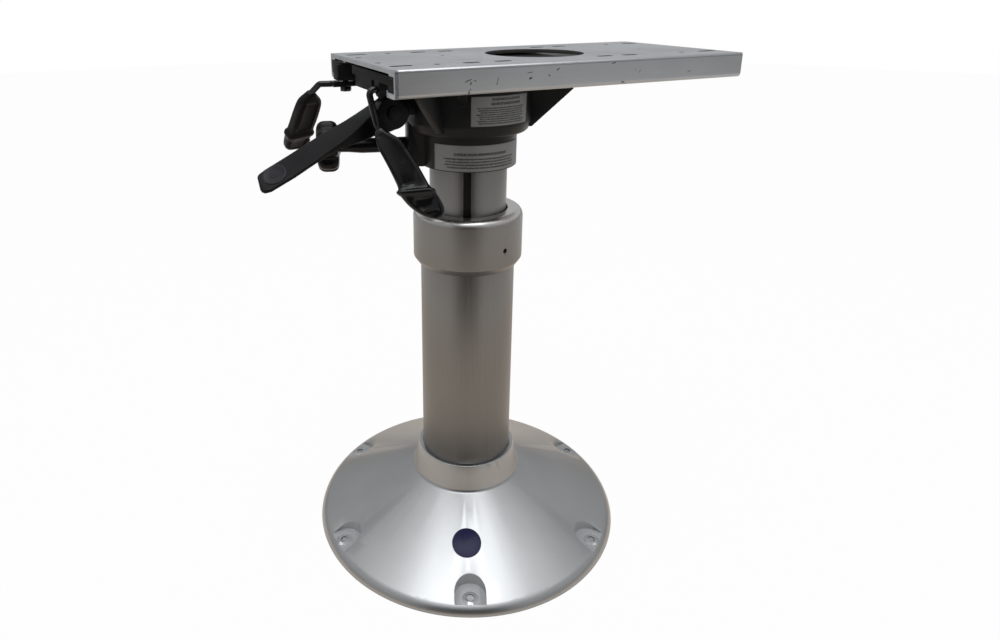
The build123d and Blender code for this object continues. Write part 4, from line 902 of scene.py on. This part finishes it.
class PEDESTAL_OT_height_lever(bpy.types.Operator):
    """Flat height lever that turns into a deep web at its hub, with a plain disc near the tip"""
    bl_idname = "pedestal.height_lever"
    bl_label = "Height lever"

    def execute(self, context):
        rings = []
        for x, far_y, near_y, far_z, near_z, far_t, near_t in PADDLE_SECTIONS:
            corner = min(PADDLE_CORNER, far_t * 0.45, near_t * 0.45)
            outline = rounded([(far_y, far_z, corner), (near_y, near_z, corner),
                               (near_y, near_z - near_t, corner), (far_y, far_z - far_t, corner)])
            rings.append([mm(x, point.x, point.y) for point in outline])
        paddle = loft("height_paddle", rings)
        hub = rod_along_y("paddle_hub", HUB, HUB_RADIUS, HUB_FAR_Y, HUB_NEAR_Y)
        soften(hub, mm(HUB_ROUND), 3, 50)
        combine(paddle, hub, "UNION")
        spacer = rod_along_y("paddle_spacer", HUB, SPACER_RADIUS, SPACER_FAR_Y, HUB_FAR_Y - 1)
        combine(paddle, spacer, "UNION")
        bore = rod_along_y("paddle_bore", HUB, BORE_RADIUS, SPACER_FAR_Y + 1, HUB_NEAR_Y - 1)
        combine(paddle, bore, "DIFFERENCE")
        arm = merged_copy("release_arm", "arm_slot")
        combine(paddle, arm, "DIFFERENCE")
        smooth(paddle, 32)
        dress(paddle, "height_handle", "lever_black", "black_plastic", "height_lever")

        badge = add_badge()
        smooth(badge, 35)
        dress(badge, "height_handle", "lever_badge", "black_plastic")
        return {"FINISHED"}


class Grip:
    """A moulded grip's start and direction, the way of its width and the way its front looks."""

    def __init__(self, start, end, side, sections):
        self.start = mm(*start)
        self.along = (mm(*end) - self.start).normalized()
        side = Vector(side)
        self.side = (side - self.along * side.dot(self.along)).normalized()
        self.out = self.along.cross(self.side)
        if self.out.dot(CAMERA_PLACE - self.start) < 0:
            self.out = -self.out
        self.sections = sections

    def ring(self, distance, width, depth, shift, skew, corner):
        """Rounded section: width and depth in millimetres, moved sideways by shift, slanted by skew."""
        half_w, half_d = width / 2, depth / 2
        corner = min(corner, half_w * 0.98, half_d * 0.98)
        outline = rounded([(-half_w, -half_d, corner), (half_w, -half_d, corner),
                           (half_w, half_d, corner), (-half_w, half_d, corner)])
        centre = self.start + self.along * mm(distance) + self.side * mm(shift)
        points = [self.side * mm(point.x) + self.out * mm(point.y) for point in outline]
        return [centre + point + self.along * (point.dot(self.side) * skew) for point in points]


# Sections of the grips: distance, width, depth, sideways shift, slant and corner.
SWIVEL_SECTIONS = (
    (-1.0, 6.6, 6.6, 0.0, 0.0, 3.0),
    (0.5, 9.6, 9.4, 0.0, 0.0, 4.0),
    (4.0, 13.0, 11.0, -0.6, 0.0, 4.4),
    (9.0, 15.6, 12.0, -0.7, 0.0, 4.2),
    (13.0, 18.6, 12.5, 0.0, 0.10, 4.0),
    (17.0, 21.4, 13.0, 0.6, 0.15, 4.0),
    (23.0, 22.6, 13.0, 0.9, 0.20, 4.0),
    (38.0, 23.4, 13.5, 0.1, 0.35, 4.0),
    (52.0, 23.8, 13.8, -1.4, 0.50, 4.0),
    (61.5, 24.0, 14.0, -2.6, 0.54, 4.0),
    (62.4, 28.4, 17.0, -3.0, 0.54, 4.6),
    (63.6, 30.4, 18.4, -3.1, 0.54, 4.8),
    (65.6, 30.4, 18.4, -3.1, 0.54, 4.8),
    (66.9, 28.6, 17.0, -3.0, 0.54, 4.6),
    (68.0, 27.6, 14.0, -2.8, 0.54, 4.2),
    (74.0, 27.4, 12.0, -2.6, 0.50, 4.2),
    (80.0, 25.4, 10.0, -2.0, 0.44, 4.2),
    (86.0, 21.6, 8.5, -1.0, 0.36, 4.0),
    (90.5, 16.4, 7.0, 0.0, 0.28, 3.2),
    (93.6, 9.6, 5.4, 1.2, 0.20, 2.4),
    (94.8, 4.0, 3.4, 1.8, 0.10, 1.5),
)
SLIDE_SECTIONS = (
    (-1.0, 7.0, 7.0, 0.0, 0.0, 3.0),
    (0.5, 10.0, 9.0, 0.0, 0.0, 3.8),
    (4.0, 15.0, 10.0, 0.3, 0.0, 4.4),
    (8.0, 23.5, 11.0, 0.8, 0.0, 5.0),
    (12.0, 27.5, 12.0, 1.2, 0.0, 4.8),
    (20.0, 28.5, 12.5, 1.3, 0.0, 4.2),
    (38.0, 28.0, 13.0, 1.0, -0.05, 4.0),
    (52.0, 27.6, 13.0, 0.8, -0.10, 4.0),
    (53.0, 30.4, 15.6, 0.8, -0.10, 4.6),
    (54.5, 31.8, 16.8, 0.8, -0.10, 4.8),
    (57.0, 31.8, 16.8, 0.8, -0.10, 4.8),
    (58.5, 30.6, 15.4, 0.7, -0.10, 4.6),
    (59.6, 28.6, 13.4, 0.6, -0.10, 4.2),
    (68.0, 28.0, 12.4, 0.4, -0.08, 4.2),
    (74.0, 26.4, 11.4, 0.4, -0.05, 4.2),
    (77.6, 22.0, 9.4, 0.6, 0.0, 4.0),
    (79.4, 15.0, 6.4, 0.8, 0.0, 3.0),
)
SWIVEL_GRIP = Grip((-117.3, -58.5, 479.5), (-84.7, -105.0, 411.7), (0.85, -0.2, 0.49), SWIVEL_SECTIONS)
SLIDE_GRIP = Grip((-141.0, 83.0, 496.5), (-154.5, 125.0, 432.5), (1.0, 0.3, 0.0), SLIDE_SECTIONS)
GRIP_PIECES = (
    # grip, name, body, finish, node, panels: first and last distance, border and depth
    (SWIVEL_GRIP, "swivel_grip", "swivel_handle", "grip_black", "swivel_lever_grip",
     ((4.0, 61.0, 2.4, 1.2), (68.5, 92.0, 2.6, 2.0))),
    (SLIDE_GRIP, "slide_grip", "slide_handle", "grip_brown", "slide_lever_grip",
     ((9.0, 51.5, 4.4, 1.2), (60.0, 78.0, 3.0, 1.4))),
)
PANEL_SLOPE = 0.8
PANEL_STEPS = (0.3, 0.7)


def sink_front(piece, grip, first, last, border, depth):
    """Sinks a panel, with a border left round it, into a grip's front between two distances."""
    focus(piece)
    bpy.ops.object.mode_set(mode="EDIT")
    select_faces(piece, lambda face: (
        face.normal.dot(grip.out) > 0.85
        and mm(first) < (face.calc_center_median() - grip.start).dot(grip.along) < mm(last)))
    for thickness, share in zip((border, PANEL_SLOPE), PANEL_STEPS):
        bpy.ops.mesh.inset(thickness=mm(thickness), depth=-mm(depth * share))
    start_clean()


class PEDESTAL_OT_grip_levers(bpy.types.Operator):
    """The two bent rods with their moulded grips, each with a raised ring and a thin scooped end"""
    bl_idname = "pedestal.grip_levers"
    bl_label = "Grip levers"

    def execute(self, context):
        refine("swivel_lever_rod", "swivel_rod", "swivel_handle", "black_steel", "black_steel")
        refine("slide_lever_rod", "slide_rod", "slide_handle", "black_steel", "black_steel")
        refine("slide_lever_hub", "slide_hub", "slide_handle", "black_steel", "black_steel",
               context.scene.pedestal_sizes.bolt_round)
        for grip, name, body, finish, node, panels in GRIP_PIECES:
            piece = loft(name, [grip.ring(*section) for section in grip.sections])
            for panel in panels:
                sink_front(piece, grip, *panel)
            apply_modifier(piece, "SUBSURF", levels=1, render_levels=1)
            smooth(piece, 60)
            dress(piece, body, finish, "black_plastic", node)
        return {"FINISHED"}


KNOB_TURN = 164.0
KNOB_Z = 447.5
KNOB_PROFILE = (
    # distance from the column's axis, radius, share of the lobes
    (65.0, 7.6, 0.0), (110.0, 7.6, 0.0), (124.0, 6.2, 0.0), (131.0, 6.0, 0.0), (132.4, 9.0, 0.0),
    (132.9, 17.0, 0.3), (133.6, 21.0, 0.7), (135.0, 23.8, 0.9), (137.5, 25.4, 1.0), (140.0, 26.0, 1.0),
    (147.0, 26.0, 1.0), (150.5, 25.2, 1.0), (153.2, 23.0, 0.9), (154.6, 19.6, 0.7), (155.0, 16.0, 0.3),
    (154.6, 13.4, 0.0), (153.6, 12.4, 0.0), (153.4, 8.0, 0.0), (153.4, 2.0, 0.0),
)
LOBE_DEPTH = 4.8
LOBE_SHARPNESS = 1.6
LOBE_STEPS = 14


class PEDESTAL_OT_friction_knob(bpy.types.Operator):
    """Lobed knob on its tapering stem"""
    bl_idname = "pedestal.friction_knob"
    bl_label = "Friction knob"

    def execute(self, context):
        lobes = context.scene.pedestal_sizes.knob_lobes
        way = polar(METRE, KNOB_TURN, 0)
        across = Vector((-way.y, way.x, 0))
        up = Vector((0, 0, 1))
        rings = []
        for distance, radius, share in KNOB_PROFILE:
            ring = []
            for turn in turns(lobes * LOBE_STEPS):
                dip = (0.5 - 0.5 * cos(lobes * turn)) ** LOBE_SHARPNESS * LOBE_DEPTH * share
                reach = mm(radius - dip)
                ring.append(way * mm(distance) + up * mm(KNOB_Z) + across * (reach * cos(turn))
                            + up * (reach * sin(turn)))
            rings.append(ring)
        knob = loft("lobed_knob", rings)
        bore = merged_copy("knob_stud", "stud_bore")
        combine(knob, bore, "DIFFERENCE")
        smooth(knob, 40)
        dress(knob, "knob", "knob_black", "black_plastic", "friction_knob")
        return {"FINISHED"}


class PEDESTAL_OT_inner_parts(bpy.types.Operator):
    """Finishes of the solids that are shown as they are"""
    bl_idname = "pedestal.inner_parts"
    bl_label = "Inner parts"

    def execute(self, context):
        slots = {part["node"]: part["material_slot"] for part in frame["record"]["subparts"]}
        for node, piece in NODES.items():
            finish = FINISHES.get(node) or FINISHES.get(slots[node]) or FINISHES["grip_black"]
            piece.data.materials.clear()
            piece.data.materials.append(finish)
        return {"FINISHED"}


# Stage


def add_camera():
    """Camera at the photograph's place, with its framing."""
    start_clean()
    back = CAMERA_RIGHT.cross(CAMERA_UP).normalized()
    bpy.ops.object.camera_add()
    camera = bpy.context.object
    turn = Matrix((CAMERA_RIGHT, CAMERA_UP, back)).transposed().to_4x4()
    camera.matrix_world = Matrix.Translation(CAMERA_PLACE) @ turn
    camera.data.sensor_width = SENSOR_WIDTH
    camera.data.lens = FOCAL_PIXELS / IMAGE_WIDTH * SENSOR_WIDTH
    camera.data.shift_x = (IMAGE_WIDTH / 2 - IMAGE_CENTRE[0]) / IMAGE_WIDTH
    camera.data.shift_y = (IMAGE_CENTRE[1] - IMAGE_HEIGHT / 2) / IMAGE_WIDTH
    camera.data.clip_start = 0.01
    bpy.context.scene.camera = camera


LAMPS = (
    # name, place, target, size, power, shown in reflections
    ("top_lamp", (-0.1, -0.15, 2.1), (0, 0, 0.1), 1.5, 14, True),
    ("front_lamp", (-0.85, -1.75, 1.75), (0, 0, 0.25), 0.55, 2.6, False),
    ("left_lamp", (-1.9, -0.5, 1.0), (0, 0, 0.35), 0.8, 1.5, False),
    ("right_lamp", (1.7, -0.9, 1.0), (0, 0, 0.3), 0.8, 1.5, False),
)
ROUND_STEPS = 96
FLOOR_RADIUS = 6.0
FLOOR_DROP = 0.5
FLOOR_WHITE = 0.975
WORLD_TONE = (0.78, 0.80, 0.83)
WORLD_STRENGTH = 0.42
WHITE = (1, 1, 1)


def add_lamp(name, place, target, size, power, in_reflections):
    """Soft square lamp at a place, aimed at a target."""
    start_clean()
    bpy.ops.object.light_add(type="AREA", location=place)
    lamp = bpy.context.object
    lamp.name = name
    lamp.data.size = size
    lamp.data.energy = power
    lamp.visible_glossy = in_reflections
    lamp.rotation_euler = (Vector(target) - Vector(place)).to_track_quat("-Z", "Y").to_euler()


def add_floor():
    """Pale floor that lights the piece from below and is white to the camera and to reflections."""
    start_clean()
    bpy.ops.mesh.primitive_circle_add(vertices=ROUND_STEPS, radius=FLOOR_RADIUS, fill_type="NGON",
                                      location=(0, 0, mm(-FLOOR_DROP)))
    floor = bpy.context.object
    floor.name = "studio_floor"
    finish = Finish("studio_floor")
    finish.set(color=(0.80, 0.80, 0.80), roughness=0.9, specular=0.1)
    own = Wire(finish, finish.shader.outputs["BSDF"])
    white = finish.add("ShaderNodeEmission", {"Color": WHITE, "Strength": 1.0})
    share = finish.white_rays() * FLOOR_WHITE
    finish.show(finish.add("ShaderNodeMixShader", {0: share, 1: own, 2: white}), "Material Output")
    floor.data.materials.append(FINISHES["studio_floor"])


def add_world():
    """Surroundings that light the piece with a pale grey and are white to the camera and to reflections."""
    world = bpy.data.worlds.new("studio_world")
    bpy.context.scene.world = world
    tree = NodeTree(world)
    background = tree.nodes["Background"]
    tree.fill(background, {"Color": WORLD_TONE, "Strength": WORLD_STRENGTH})
    own = Wire(tree, background.outputs["Background"])
    white = tree.add("ShaderNodeBackground", {"Color": WHITE, "Strength": 1.0})
    tree.show(tree.add("ShaderNodeMixShader", {0: tree.white_rays(), 1: own, 2: white}), "World Output")


def add_wall(radius, height, middle_z):
    """Upright wall all round the column."""
    bpy.ops.mesh.primitive_cylinder_add(vertices=ROUND_STEPS, radius=radius, depth=height,
                                        end_fill_type="NOTHING", location=(0, 0, middle_z))


def add_disc(place, half_sizes, turn):
    """Flat oval: a place, its two half sizes in metres and a turn round +Z in degrees."""
    bpy.ops.mesh.primitive_circle_add(vertices=ROUND_STEPS, radius=1, fill_type="NGON", location=place,
                                      rotation=(0, 0, radians(turn)), scale=(*half_sizes, 1))


def add_upright(place):
    """Upright sheet, one metre square, that faces the column."""
    bpy.ops.mesh.primitive_plane_add(size=1, location=place)
    bpy.context.object.rotation_euler = (radians(90), 0, atan2(place[1], place[0]) + pi / 2)


CARDS = (
    # name, tone, how its mesh is added
    ("grey_wall", (0.53, 0.54, 0.55), add_wall, (2.9, 3.4, 1.72)),
    ("low_wall", (0.24, 0.235, 0.23), add_wall, (2.85, 0.5, 0.26)),
    ("grey_ceiling", (0.50, 0.51, 0.52), add_disc, ((0, 0, 3.4), (2.9, 2.9), 0)),
    ("grey_floor", (0.145, 0.14, 0.135), add_disc, ((0, 0, mm(0.3)), (2.9, 2.9), 0)),
    ("near_floor", (0.82, 0.73, 0.64), add_disc, ((0, 0, mm(0.6)), (0.43, 0.43), 0)),
    ("dark_card", (0.05, 0.048, 0.045), add_upright, ((-0.47, -0.95, 0.5),)),
    ("bright_ceiling", (1.5, 1.54, 1.58), add_disc, ((-0.24, -0.49, 2.45), (2.3, 0.50), -26)),
)


def add_card(name, tone, add_mesh, values):
    """A studio card: a plain tone that only reflections see."""
    start_clean()
    add_mesh(*values)
    card = bpy.context.object
    card.name = name
    Finish(name).set(color=(0, 0, 0), roughness=1.0, specular=0.0, emission=tone, strength=1.0)
    card.data.materials.append(FINISHES[name])
    for rays in ("camera", "diffuse", "shadow", "transmission"):
        setattr(card, "visible_" + rays, False)


class PEDESTAL_OT_stage(bpy.types.Operator):
    """Floor, soft lamps, white surroundings, cards for reflections and the camera"""
    bl_idname = "pedestal.stage"
    bl_label = "Stage"

    def execute(self, context):
        add_camera()
        add_floor()
        add_world()
        for lamp in LAMPS:
            add_lamp(*lamp)
        for card in CARDS:
            add_card(*card)
        context.scene.view_settings.view_transform = "Standard"
        return {"FINISHED"}


class PEDESTAL_PT_panel(bpy.types.Panel):
    """Sizes, colours and buttons of the pedestal"""
    bl_label = "Boat seat pedestal"
    bl_idname = "PEDESTAL_PT_panel"
    bl_space_type = "VIEW_3D"
    bl_region_type = "UI"
    bl_category = "Pedestal"

    def draw(self, context):
        for group in (context.scene.pedestal_sizes, context.scene.pedestal_colours):
            for key in group.__annotations__:
                self.layout.prop(group, key)
        for operator in OPERATORS:
            self.layout.operator(operator.bl_idname)


OPERATORS = (PEDESTAL_OT_base, PEDESTAL_OT_column, PEDESTAL_OT_seat_mount, PEDESTAL_OT_slide_plate,
             PEDESTAL_OT_height_lever, PEDESTAL_OT_grip_levers, PEDESTAL_OT_friction_knob,
             PEDESTAL_OT_inner_parts, PEDESTAL_OT_stage)
CLASSES = (PedestalSizes, PedestalColours, *OPERATORS, PEDESTAL_PT_panel)


def register():
    for item in CLASSES:
        bpy.utils.register_class(item)
    bpy.types.Scene.pedestal_sizes = PointerProperty(type=PedestalSizes)
    bpy.types.Scene.pedestal_colours = PointerProperty(type=PedestalColours)


def unregister():
    del bpy.types.Scene.pedestal_colours
    del bpy.types.Scene.pedestal_sizes
    for item in reversed(CLASSES):
        bpy.utils.unregister_class(item)


def main():
    register()
    make_finishes()
    bpy.ops.pedestal.base()
    bpy.ops.pedestal.column()
    bpy.ops.pedestal.seat_mount()
    bpy.ops.pedestal.slide_plate()
    bpy.ops.pedestal.height_lever()
    bpy.ops.pedestal.grip_levers()
    bpy.ops.pedestal.friction_knob()
    bpy.ops.pedestal.inner_parts()
    bpy.ops.pedestal.stage()


if __name__ == "__main__":
    main()
